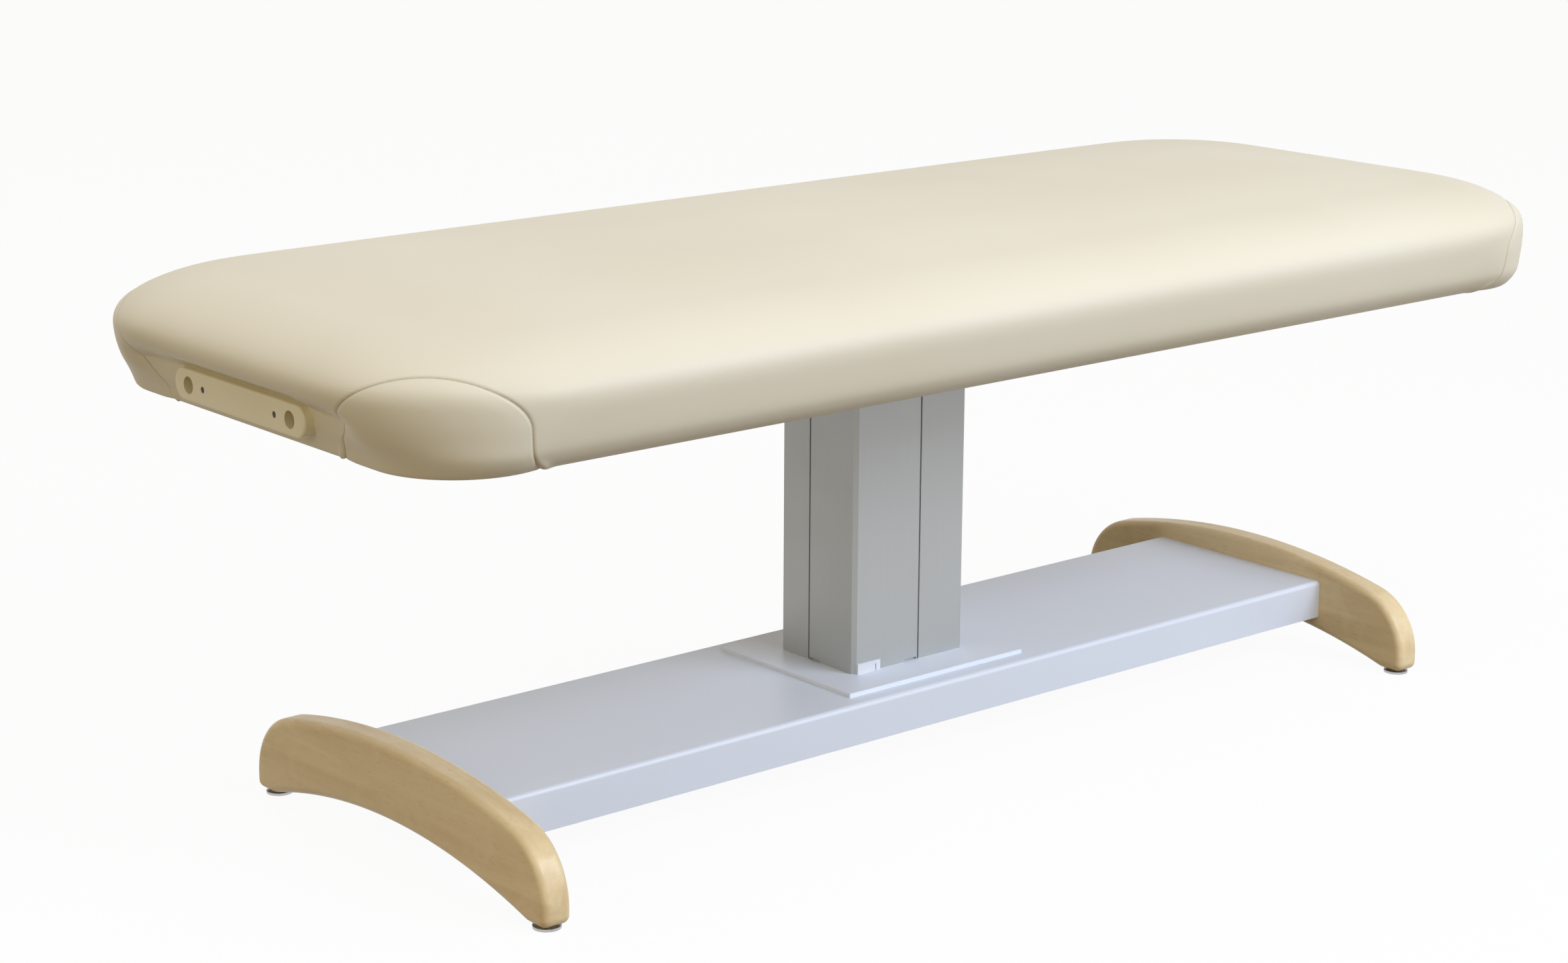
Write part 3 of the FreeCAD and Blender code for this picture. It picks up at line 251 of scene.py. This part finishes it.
def makePlywood():
    spec = plywoodSpec
    material, tree, shader, where = newFinish("birchPlywood")
    plies = tree.nodes.new("ShaderNodeTexWave")
    plies.bands_direction = "Z"
    plies.inputs["Scale"].default_value = spec["plies"]
    plies.inputs["Distortion"].default_value = spec["wander"]
    tree.links.new(where, plies.inputs["Vector"])
    colour = blendColour(tree, plies.outputs["Fac"], spec["pale"], spec["dark"])
    figure = noise(tree, stretched(tree, where, spec["figureStretch"]), *spec["figureNoise"])
    colour = blendColour(tree, spread(tree, figure, *spec["figureShare"]), colour, spec["figure"])
    tree.links.new(colour, shader.inputs["Base Color"])
    bumped(tree, shader, figure, *spec["bump"])
    tree.links.new(spread(tree, figure, *midTones, *spec["rough"]), shader.inputs["Roughness"])
    return material


finishes = {
    "vinyl": makeVinyl(),
    "foam": makePlastic("creamFoam", (0.68, 0.64, 0.54), (0.62, 0.57, 0.46), 0.85, 300.0),
    "maple": makeMaple(),
    "plywood": makePlywood(),
    "white_coat": makeCoat("whiteCoat", (0.850, 0.905, 1.000), (0.836, 0.892, 0.990), 0.38),
    "black_coat": makeCoat("blackCoat", (0.020, 0.020, 0.022), (0.028, 0.028, 0.030), 0.45),
    "anodised": makeMetal("satinAnodised", (0.468, 0.476, 0.462), (0.453, 0.461, 0.448), 0.44,
                          (900.0, 900.0, 6.0), 0.5),
    "zinc": makeMetal("zincPlate", (0.60, 0.60, 0.58), (0.52, 0.53, 0.54), 0.34, (160.0, 160.0, 160.0), 1.0),
    "bright_glide": makeMetal("brightGlide", (0.52, 0.52, 0.52), (0.44, 0.45, 0.46), 0.24,
                              (300.0, 300.0, 30.0), 1.0),
    "cream_plastic": makePlastic("creamPlastic", (0.920, 0.850, 0.620), (0.890, 0.820, 0.590), 0.42),
    "white_plastic": makePlastic("whitePlastic", (0.80, 0.82, 0.86), (0.77, 0.79, 0.83), 0.40),
    "black_plastic": makePlastic("blackPlastic", (0.018, 0.018, 0.019), (0.025, 0.025, 0.026), 0.42),
    "circuit_board": makePlastic("circuitBoard", (0.02, 0.12, 0.05), (0.03, 0.16, 0.07), 0.35, 200.0),
    "motor_steel": makeMetal("motorSteel", (0.16, 0.165, 0.175), (0.13, 0.135, 0.145), 0.38,
                             (60.0, 60.0, 60.0), 0.7),
    "cable_rubber": makePlastic("cableRubber", (0.016, 0.016, 0.016), (0.024, 0.024, 0.024), 0.6, 900.0),
}
slotOf = {part["node"]: part["material_slot"] for part in frame["record"]["subparts"]}
for name, node in frame["nodes"].items():
    node.data.materials.clear()
    node.data.materials.append(finishes[slotOf[name]])
print("finishes given to", len(slotOf), "nodes")

coverSpec = {
    "length": 1.854, "width": 0.737, "railBottom": 0.527, "skin": 0.0012, "lips": (0.025, 0.012, 0.0015),
    "endDraw": 0.046, "sideDraw": 0.035, "widest": 0.0795, "rollHeight": 0.051, "rollReach": 0.128,
    "rollPower": 1.9, "rollSteps": (16, 30, 44, 58, 74, 90), "crownRise": 0.009, "crownReach": 0.171,
    "cornerLow": 0.100, "cornerWide": 0.196, "cornerHigh": 0.090, "spacing": 0.0085,
    "crownShares": (0.33, 0.66, 1.0), "crownBand": 0.004, "crownPasses": 25,
    "stepsAlong": 96, "stepsAcross": 32, "stepsCorner": 24,
    "edgeShape": ((1.0, 1.0, 0.0, 0.0), (0.966, 0.70, 0.08, 0.12), (0.857, 0.37, 0.24, 0.25),
                  (0.465, 0.20, 0.47, 0.58), (0.183, 0.07, 0.72, 0.80), (0.0, 0.0, 1.0, 1.0)),
}


def smoothRows(keys, spacing):  # a Catmull-Rom line through the keys
    keys = np.array(keys)
    padded = np.vstack([2 * keys[0] - keys[1], keys, 2 * keys[-1] - keys[-2]])
    rows = []
    for i in range(len(keys) - 1):
        a, b, c, d = padded[i:i + 4]
        run = max(np.hypot(c[0] - b[0], c[2] - b[2]), np.hypot(c[1] - b[1], c[2] - b[2]))
        for t in np.arange(0.0, 1.0, 1.0 / max(1, round(run / spacing))):
            rows.append(0.5 * (2 * b + (c - a) * t + (2 * a - 5 * b + 4 * c - d) * t * t
                               + (3 * b - a - 3 * c + d) * t ** 3))
    rows.append(keys[-1])
    return rows


def crownHeight(inset):
    share = min((inset - coverSpec["rollReach"]) / coverSpec["crownReach"], 1.0)
    return coverSpec["widest"] + coverSpec["rollHeight"] + coverSpec["crownRise"] * (1 - (1 - share) ** 2)


def coverRows():  # draw-in at the ends and sides, height and corner radius, from the lip to the crown
    spec = coverSpec
    low, wide, high = spec["cornerLow"], spec["cornerWide"], spec["cornerHigh"]
    keys = []
    for end, side, height, turn in spec["edgeShape"]:
        keys.append((end * spec["endDraw"], side * spec["sideDraw"], height * spec["widest"],
                     low + (wide - low) * turn))
    power = 2 / spec["rollPower"]
    for degrees in spec["rollSteps"]:
        share = 1 - max(math.cos(math.radians(degrees)), 0.0) ** power
        inset = spec["rollReach"] * share
        lifted = spec["rollHeight"] * math.sin(math.radians(degrees)) ** power
        keys.append((inset, inset, spec["widest"] + lifted, wide + (high - wide) * share))
    for share in spec["crownShares"]:
        inset = spec["rollReach"] + high * share
        keys.append((inset, inset, crownHeight(inset), high * (1 - share)))
    under = [np.array((spec["endDraw"] + out, spec["sideDraw"] + out, -spec["skin"], low))
             for out in spec["lips"]]
    return under + smoothRows(keys, spec["spacing"])


def ringPoints(end, side, z, radius):
    spec = coverSpec
    halfX, halfY = spec["length"] / 2 - end, spec["width"] / 2 - side
    inX, inY = halfX - radius, halfY - radius
    runs = (((-inX, -halfY), (inX, -halfY), spec["stepsAlong"], (inX, -inY), -90),
            ((halfX, -inY), (halfX, inY), spec["stepsAcross"], (inX, inY), 0),
            ((inX, halfY), (-inX, halfY), spec["stepsAlong"], (-inX, inY), 90),
            ((-halfX, inY), (-halfX, -inY), spec["stepsAcross"], (-inX, -inY), 180))
    points = []
    for start, stop, steps, centre, angle in runs:
        for i in range(steps + 1):
            t = i / steps
            points.append((start[0] + (stop[0] - start[0]) * t, start[1] + (stop[1] - start[1]) * t, z))
        for i in range(1, spec["stepsCorner"]):
            turn = math.radians(angle + 90 * i / spec["stepsCorner"])
            points.append((centre[0] + radius * math.cos(turn), centre[1] + radius * math.sin(turn), z))
    return points


def buildCover():
    spec = coverSpec
    rows = coverRows()
    points, faces = [], []
    for end, side, height, radius in rows:
        points += ringPoints(end, side, spec["railBottom"] + height, radius)
    around = len(points) // len(rows)
    for r in range(len(rows) - 1):
        for i in range(around):
            j = (i + 1) % around
            faces.append((r * around + i, r * around + j, (r + 1) * around + j, (r + 1) * around + i))
    base = (len(rows) - 1) * around  # the flat middle is a grid between the last ring's four sides
    nx, ny, nc = spec["stepsAlong"], spec["stepsAcross"], spec["stepsCorner"]
    grid = {}
    for i in range(nx + 1):
        grid[i, 0] = base + i
        grid[i, ny] = base + (nx + nc) + (ny + nc) + (nx - i)
    for j in range(ny + 1):
        grid[nx, j] = base + (nx + nc) + j
        grid[0, j] = base + 2 * (nx + nc) + (ny + nc) + (ny - j)
    edge = spec["railBottom"] + rows[-1][2]
    for i in range(1, nx):
        for j in range(1, ny):
            x, y = points[grid[i, 0]][0], points[grid[0, j]][1]
            inset = min(spec["width"] / 2 - abs(y), spec["length"] / 2 - abs(x))
            grid[i, j] = len(points)
            points.append((x, y, max(spec["railBottom"] + crownHeight(inset), edge)))
    for i in range(nx):
        for j in range(ny):
            faces.append((grid[i, j], grid[i + 1, j], grid[i + 1, j + 1], grid[i, j + 1]))
    mesh = bpy.data.meshes.new("coverBase")
    mesh.from_pydata(points, [], faces)
    form = bmesh.new()
    form.from_mesh(mesh)
    bmesh.ops.remove_doubles(form, verts=form.verts, dist=1e-6)
    bmesh.ops.recalc_face_normals(form, faces=form.faces)
    crown = [v for v in form.verts if v.co.z > edge - spec["crownBand"]]
    for _ in range(spec["crownPasses"]):
        bmesh.ops.smooth_vert(form, verts=crown, factor=0.5, use_axis_z=True)
    form.to_mesh(mesh)
    form.free()
    return mesh


def places(mesh):
    flat = np.zeros(len(mesh.vertices) * 3)
    mesh.vertices.foreach_get("co", flat)
    return flat.reshape(-1, 3)


def normals(mesh):
    flat = np.zeros(len(mesh.vertices) * 3, np.float32)
    mesh.vertex_normals.foreach_get("vector", flat)
    return flat.reshape(-1, 3).astype(float)


def smoothStep(value):
    value = np.clip(value, 0.0, 1.0)
    return value * value * (3 - 2 * value)


seamSpec = {
    "half": 0.102, "rise": 0.054, "spring": 0.576, "shift": 0.0075, "depth": 0.0015, "wide": 0.0032,
    "valley": 1.4, "line": 0.0010, "fuller": 0.0012, "fullOver": 0.011, "reach": 0.013, "finer": (1.0, 0.6),
    "gather": 0.0022, "gatherUp": (0.005, 0.008), "gatherOut": (0.006, 0.005), "inward": -0.12,
    "flattest": 0.12, "snap": 0.00012, "near": 0.05,
}
cornerSigns = {"tail_back": (1, 1), "head_back": (-1, 1), "head_front": (-1, -1), "tail_front": (1, -1)}


def seamDistance(points, facing, signs):  # to a corner's arch, negative inside, along the surface if facing
    sx, sy = signs
    half, high = seamSpec["half"], seamSpec["rise"]
    dx = points[:, 0] - sx * (coverSpec["length"] / 2 - coverSpec["endDraw"] + seamSpec["shift"])
    dy = points[:, 1] - sy * (coverSpec["width"] / 2 - coverSpec["sideDraw"] - seamSpec["shift"])
    across = (dy * sx - dx * sy) / math.sqrt(2)
    outward = (dx * sx + dy * sy) / math.sqrt(2)
    up = np.maximum(points[:, 2] - seamSpec["spring"], 0.0)
    level = np.maximum(np.hypot(across / half, up / high), 1e-9)
    slopeA, slopeU = across / half ** 2 / level, up / high ** 2 / level
    steep = np.maximum(np.hypot(slopeA, slopeU), 1e-9)
    flat = np.where(outward > seamSpec["inward"], (level - 1.0) / steep, 1.0)
    if facing is None:
        return flat
    slope = np.stack([-sy * slopeA / math.sqrt(2), sx * slopeA / math.sqrt(2), slopeU], 1) / steep[:, None]
    lean = np.sqrt(np.maximum(1.0 - np.sum(slope * facing, 1) ** 2, seamSpec["flattest"]))
    return flat / lean


pressSpec = {
    "shrink": 0.0015, "swell": 0.005, "frames": 14, "pressure": 4.0, "foamHold": 0.22, "freeFrom": 0.556,
    "freeOver": 0.035, "seamHold": 0.010, "seamGrip": 1.3, "quality": 5, "mass": 0.3,
}


def pressOut(mesh):  # the vinyl is pressed out by its foam and held at the rail and the seams
    spec = pressSpec
    rest, facing = places(mesh), normals(mesh)
    free = smoothStep((rest[:, 2] - spec["freeFrom"]) / spec["freeOver"])
    rest -= facing * (spec["shrink"] * free)[:, None]
    mesh.vertices.foreach_set("co", rest.ravel())
    pad = bpy.data.objects.new("coverPad", mesh)
    scene.collection.objects.link(pad)
    hold = 1.0 - free * (1.0 - spec["foamHold"])
    for signs in cornerSigns.values():
        near = np.abs(seamDistance(rest, facing, signs))
        hold = np.maximum(hold, np.clip(spec["seamGrip"] - near / spec["seamHold"], 0.0, 1.0))
    group = pad.vertex_groups.new(name="held")
    for i, weight in enumerate(hold):
        group.add([i], float(weight), "REPLACE")
    cloth = pad.modifiers.new("press", "CLOTH")
    cloth.settings.quality = spec["quality"]
    cloth.settings.mass = spec["mass"]
    cloth.settings.use_pressure = True
    cloth.settings.uniform_pressure_force = spec["pressure"]
    cloth.settings.vertex_group_mass = "held"
    cloth.settings.effector_weights.gravity = 0.0
    cloth.collision_settings.use_collision = False
    cloth.point_cache.frame_end = spec["frames"]
    for step in range(1, spec["frames"] + 1):
        scene.frame_set(step)
    shaped = pad.evaluated_get(bpy.context.evaluated_depsgraph_get())
    move = places(shaped.to_mesh()) - rest
    shaped.to_mesh_clear()
    pad.modifiers.remove(cloth)
    scene.frame_set(1)
    size = np.maximum(np.linalg.norm(move, axis=1), 1e-9)
    print("cloth moved the vinyl %.1f mm at most" % (size.max() * 1000))
    rest += move * (spec["swell"] * np.tanh(size / spec["swell"]) / size)[:, None]
    mesh.vertices.foreach_set("co", rest.ravel())
    mesh.update()
    bpy.data.objects.remove(pad)


def refine(mesh, chosen):  # halves the edges of the faces that touch chosen points
    form = bmesh.new()
    form.from_mesh(mesh)
    form.verts.ensure_lookup_table()
    edges = {e for i in np.nonzero(chosen)[0] for f in form.verts[int(i)].link_faces for e in f.edges}
    edges = sorted(edges, key=lambda edge: edge.index)
    bmesh.ops.subdivide_edges(form, edges=edges, cuts=1, use_grid_fill=True)
    form.to_mesh(mesh)
    form.free()
    mesh.update()


outletSpec = {
    "height": 0.558, "straight": 0.1145, "radius": 0.018, "behind": -0.885, "brim": -0.8920, "reach": 0.040,
    "fade": 0.040, "ease": 0.0012, "backOver": 0.003, "window": -0.0045, "finer": (0.016, 0.008),
    "headFrom": -0.8, "far": 1.0, "shelf": -0.8925, "shelfTop": 0.574, "lean": 1.6, "soft": 0.003,
    "flatTo": 0.245, "flatOver": 0.075,
}


def outletDistance(points):
    beyond = np.maximum(np.abs(points[:, 1]) - outletSpec["straight"], 0.0)
    distance = np.hypot(beyond, points[:, 2] - outletSpec["height"]) - outletSpec["radius"]
    return np.where(points[:, 0] < outletSpec["headFrom"], distance, outletSpec["far"])


def cutSeam(form, signs):  # splits the faces along a corner's arch, so that the panel gets its own edge
    points = np.array([v.co for v in form.verts])
    value = seamDistance(points, None, signs)
    value[np.abs(value) < seamSpec["snap"]] = 0.0
    level = dict(zip(form.verts, value))
    for edge in [e for e in form.edges if level[e.verts[0]] * level[e.verts[1]] < 0]:
        a, b = edge.verts
        if max(abs(level[a]), abs(level[b])) < seamSpec["near"]:
            vert = bmesh.utils.edge_split(edge, a, level[a] / (level[a] - level[b]))[1]
            level[vert] = 0.0
    for face in list(form.faces):
        on = [v for v in face.verts if level[v] == 0.0]
        if len(on) == 2 and not any(set(e.verts) == set(on) for e in face.edges):
            bmesh.utils.face_split(face, on[0], on[1])


def sewCorners(points, facing):  # a sunk line darkened with painted groove shade, fuller panels and a little gathered vinyl at the rail
    spec = seamSpec
    grooveShadeMask, shift = np.zeros(len(points)), np.zeros(len(points))
    up, high = spec["gatherUp"]
    out, wide = spec["gatherOut"]
    low = np.exp(-((points[:, 2] - coverSpec["railBottom"] - up) / high) ** 2)
    for signs in cornerSigns.values():
        away = seamDistance(points, facing, signs)
        shift -= spec["depth"] * np.clip(1.0 - np.abs(away) / spec["wide"], 0.0, 1.0) ** spec["valley"]
        shift += np.where(away < 0, spec["fuller"] * (1 - np.exp(-(away / spec["fullOver"]) ** 2)), 0.0)
        shift += spec["gather"] * low * np.exp(-((away - out) / wide) ** 2)
        # a mask for the painted groove shade along each seam
        grooveShadeMask = np.maximum(grooveShadeMask, np.exp(-(away / spec["line"]) ** 2))
    return facing * shift[:, None], grooveShadeMask


def flattenHeadEnd(points):  # between the head's corners the vinyl is drawn flat up to the block's top
    spec = outletSpec
    x = points[:, 0]
    limit = spec["shelf"] - spec["lean"] * np.maximum(points[:, 2] - spec["shelfTop"], 0.0)
    drawn = limit + spec["soft"] * np.logaddexp(0.0, (x - limit) / spec["soft"])
    share = smoothStep((spec["flatTo"] - np.abs(points[:, 1])) / spec["flatOver"])
    return np.where(x < spec["headFrom"], x + (drawn - x) * share, x)


def tuckBehindOutlet(points):  # the vinyl runs behind the block
    spec = outletSpec
    x, brim = points[:, 0], spec["brim"]
    away = outletDistance(points)
    limit = brim - (spec["fade"] * smoothStep(away / spec["reach"]) + np.maximum(away, 0.0))
    eased = limit + spec["ease"] * np.logaddexp(0.0, (x - limit) / spec["ease"])
    under = brim + (spec["behind"] - brim) * smoothStep(-away / spec["backOver"])
    eased = np.where(away < 0, np.maximum(x, under), eased)
    return np.where(away < spec["far"], eased, x)


mesh = buildCover()
pressOut(mesh)
holder = bpy.data.objects.new("cover", mesh)
scene.collection.objects.link(holder)
bpy.context.view_layer.objects.active = holder
holder.select_set(True)
finer = holder.modifiers.new("finer", "SUBSURF")
finer.levels = finer.render_levels = 1
bpy.ops.object.modifier_apply(modifier="finer")
mesh = holder.data
for share in seamSpec["finer"]:
    points, facing = places(mesh), normals(mesh)
    near = np.min([np.abs(seamDistance(points, facing, signs)) for signs in cornerSigns.values()], axis=0)
    refine(mesh, near < seamSpec["reach"] * share)
for reach in outletSpec["finer"]:
    refine(mesh, np.abs(outletDistance(places(mesh))) < reach)
form = bmesh.new()
form.from_mesh(mesh)
for signs in cornerSigns.values():
    cutSeam(form, signs)
form.to_mesh(mesh)
form.free()
mesh.update()
points = places(mesh)
moved, grooveShadeMask = sewCorners(points, normals(mesh))
points += moved
points[:, 0] = flattenHeadEnd(points)
points[:, 0] = tuckBehindOutlet(points)
mesh.vertices.foreach_set("co", points.ravel())
# the painted groove shade mask, kept on the points for the vinyl's colour
attribute = mesh.attributes.new("seamGrooveShade", "FLOAT", "POINT")
attribute.data.foreach_set("value", grooveShadeMask.astype(np.float32))
mesh.update()


def takeFaces(name, keep):  # a new piece from the faces whose middle the test keeps
    form = bmesh.new()
    form.from_mesh(mesh)
    wanted = keep(np.array([f.calc_center_median() for f in form.faces]))
    bmesh.ops.delete(form, geom=[f for f, w in zip(form.faces, wanted) if not w], context="FACES")
    part = bpy.data.meshes.new(name)
    form.to_mesh(part)
    form.free()
    for polygon in part.polygons:
        polygon.use_smooth = True
    piece = bpy.data.objects.new(name, part)
    scene.collection.objects.link(piece)
    part.materials.append(finishes["vinyl"])
    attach(piece, "top")
    return piece


def insideSeam(signs):
    return lambda centres: seamDistance(centres, None, signs) < 0


def outsideSeams(centres):
    away = np.min([seamDistance(centres, None, signs) for signs in cornerSigns.values()], axis=0)
    return (away >= 0) & (outletDistance(centres) > outletSpec["window"])


cover = takeFaces("vinylTop", outsideSeams)
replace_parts(cover, "vinyl_cover", "foam_core")
for corner, signs in cornerSigns.items():
    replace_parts(takeFaces("cornerPanel." + corner, insideSeam(signs)), "corner_panel_" + corner)
bpy.data.objects.remove(holder)
print("cover sewn:", len(cover.data.polygons), "faces")

floorSpec = {"size": 80.0, "seen": (0.93, 0.93, 0.93), "bounce": (0.22, 0.165, 0.085), "glow": 0.95}


def seenRays(tree):  # 1 for what the camera sees directly, in a gloss or through glass
    path = tree.nodes.new("ShaderNodeLightPath")
    total = path.outputs["Is Camera Ray"]
    for name in ("Is Glossy Ray", "Is Transmission Ray"):
        more = tree.nodes.new("ShaderNodeMath")
        more.operation = "MAXIMUM"
        tree.links.new(total, more.inputs[0])
        tree.links.new(path.outputs[name], more.inputs[1])
        total = more.outputs["Value"]
    return total


def makeFloor():
    bpy.ops.object.select_all(action="DESELECT")
    bpy.ops.mesh.primitive_plane_add(size=floorSpec["size"], location=(0, 0, 0))
    floor = bpy.context.object
    floor.name = "studioFloor"
    material = bpy.data.materials.new("paleFloor")
    material.use_nodes = True
    tree = material.node_tree
    tree.nodes.remove(tree.nodes["Principled BSDF"])
    lit = tree.nodes.new("ShaderNodeBsdfDiffuse")
    lit.inputs["Color"].default_value = (*floorSpec["seen"], 1.0)
    glow = tree.nodes.new("ShaderNodeEmission")
    seen = tree.nodes.new("ShaderNodeMixShader")
    seen.inputs["Fac"].default_value = floorSpec["glow"]
    tree.links.new(lit.outputs["BSDF"], seen.inputs[1])
    tree.links.new(glow.outputs["Emission"], seen.inputs[2])
    bounce = tree.nodes.new("ShaderNodeBsdfDiffuse")
    bounce.inputs["Color"].default_value = (*floorSpec["bounce"], 1.0)
    mix = tree.nodes.new("ShaderNodeMixShader")
    tree.links.new(seenRays(tree), mix.inputs["Fac"])
    tree.links.new(bounce.outputs["BSDF"], mix.inputs[1])
    tree.links.new(seen.outputs["Shader"], mix.inputs[2])
    tree.links.new(mix.outputs["Shader"], tree.nodes["Material Output"].inputs["Surface"])
    floor.data.materials.append(material)


makeFloor()
lampSpec = {  # place, aim, size, power, tint
    "overhead": ((-0.9, -0.4, 3.8), (0.0, 0.0, 0.5), (4.2, 2.8), 44.0, (0.97, 1.0, 1.11)),
    "front": ((1.2, -3.8, 3.1), (0.0, 0.0, 0.3), (3.4, 1.8), 126.0, (0.90, 1.0, 1.20)),
    "frontLow": ((2.4, -4.2, 1.4), (0.2, 0.0, 0.2), (3.4, 1.6), 40.0, (0.90, 1.0, 1.20)),
    "back": ((-1.8, 3.8, 3.0), (0.0, 0.0, 0.3), (3.4, 1.8), 10.0, (1.0, 1.0, 1.0)),
    "headSide": ((-4.4, -0.9, 1.5), (0.0, 0.0, 0.3), (1.8, 2.0), 24.0, (1.0, 0.93, 0.76)),
}
for name, (place, aim, size, power, tint) in lampSpec.items():
    bpy.ops.object.light_add(type="AREA", location=place)
    lamp = bpy.context.object
    lamp.name = name
    lamp.rotation_euler = (Vector(aim) - Vector(place)).to_track_quat("-Z", "Y").to_euler()
    lamp.data.shape = "RECTANGLE"
    lamp.data.size, lamp.data.size_y = size
    lamp.data.energy = power
    lamp.data.color = tint

worldSpec = {"fill": (1.0, 0.86, 0.60), "level": 0.31}
world = bpy.data.worlds.new("studio")
scene.world = world
world.use_nodes = True
tree = world.node_tree
background = tree.nodes["Background"]
background.inputs["Color"].default_value = (1.0, 1.0, 1.0, 1.0)
fill = tree.nodes.new("ShaderNodeBackground")
fill.inputs["Color"].default_value = (*worldSpec["fill"], 1.0)
fill.inputs["Strength"].default_value = worldSpec["level"]
mix = tree.nodes.new("ShaderNodeMixShader")
tree.links.new(seenRays(tree), mix.inputs["Fac"])
tree.links.new(fill.outputs["Background"], mix.inputs[1])
tree.links.new(background.outputs["Background"], mix.inputs[2])
tree.links.new(mix.outputs["Shader"], tree.nodes["World Output"].inputs["Surface"])

cameraSpec = {"place": (-2.58143, -2.88340, 1.32547), "azimuth": 40.175, "drop": 14.514, "roll": 0.325,
              "focalPixels": 4757.0, "imageWidth": 2336, "sensor": 36.0, "clipEnd": 100.0}
azimuth, drop, roll = (math.radians(cameraSpec[k]) for k in ("azimuth", "drop", "roll"))
ahead = Vector((math.sin(azimuth) * math.cos(drop), math.cos(azimuth) * math.cos(drop), -math.sin(drop)))
right = ahead.cross(Vector((0, 0, 1))).normalized()
up = right.cross(ahead)
right, up = right * math.cos(roll) + up * math.sin(roll), up * math.cos(roll) - right * math.sin(roll)
camera = bpy.data.objects.new("photoCamera", bpy.data.cameras.new("photoCamera"))
scene.collection.objects.link(camera)
turned = Matrix((right, up, -ahead)).transposed().to_4x4()
camera.matrix_world = Matrix.Translation(cameraSpec["place"]) @ turned
camera.data.sensor_width = cameraSpec["sensor"]
camera.data.lens = cameraSpec["sensor"] * cameraSpec["focalPixels"] / cameraSpec["imageWidth"]
camera.data.clip_end = cameraSpec["clipEnd"]
scene.camera = camera
scene.view_settings.view_transform = "Standard"
print("light and camera set")
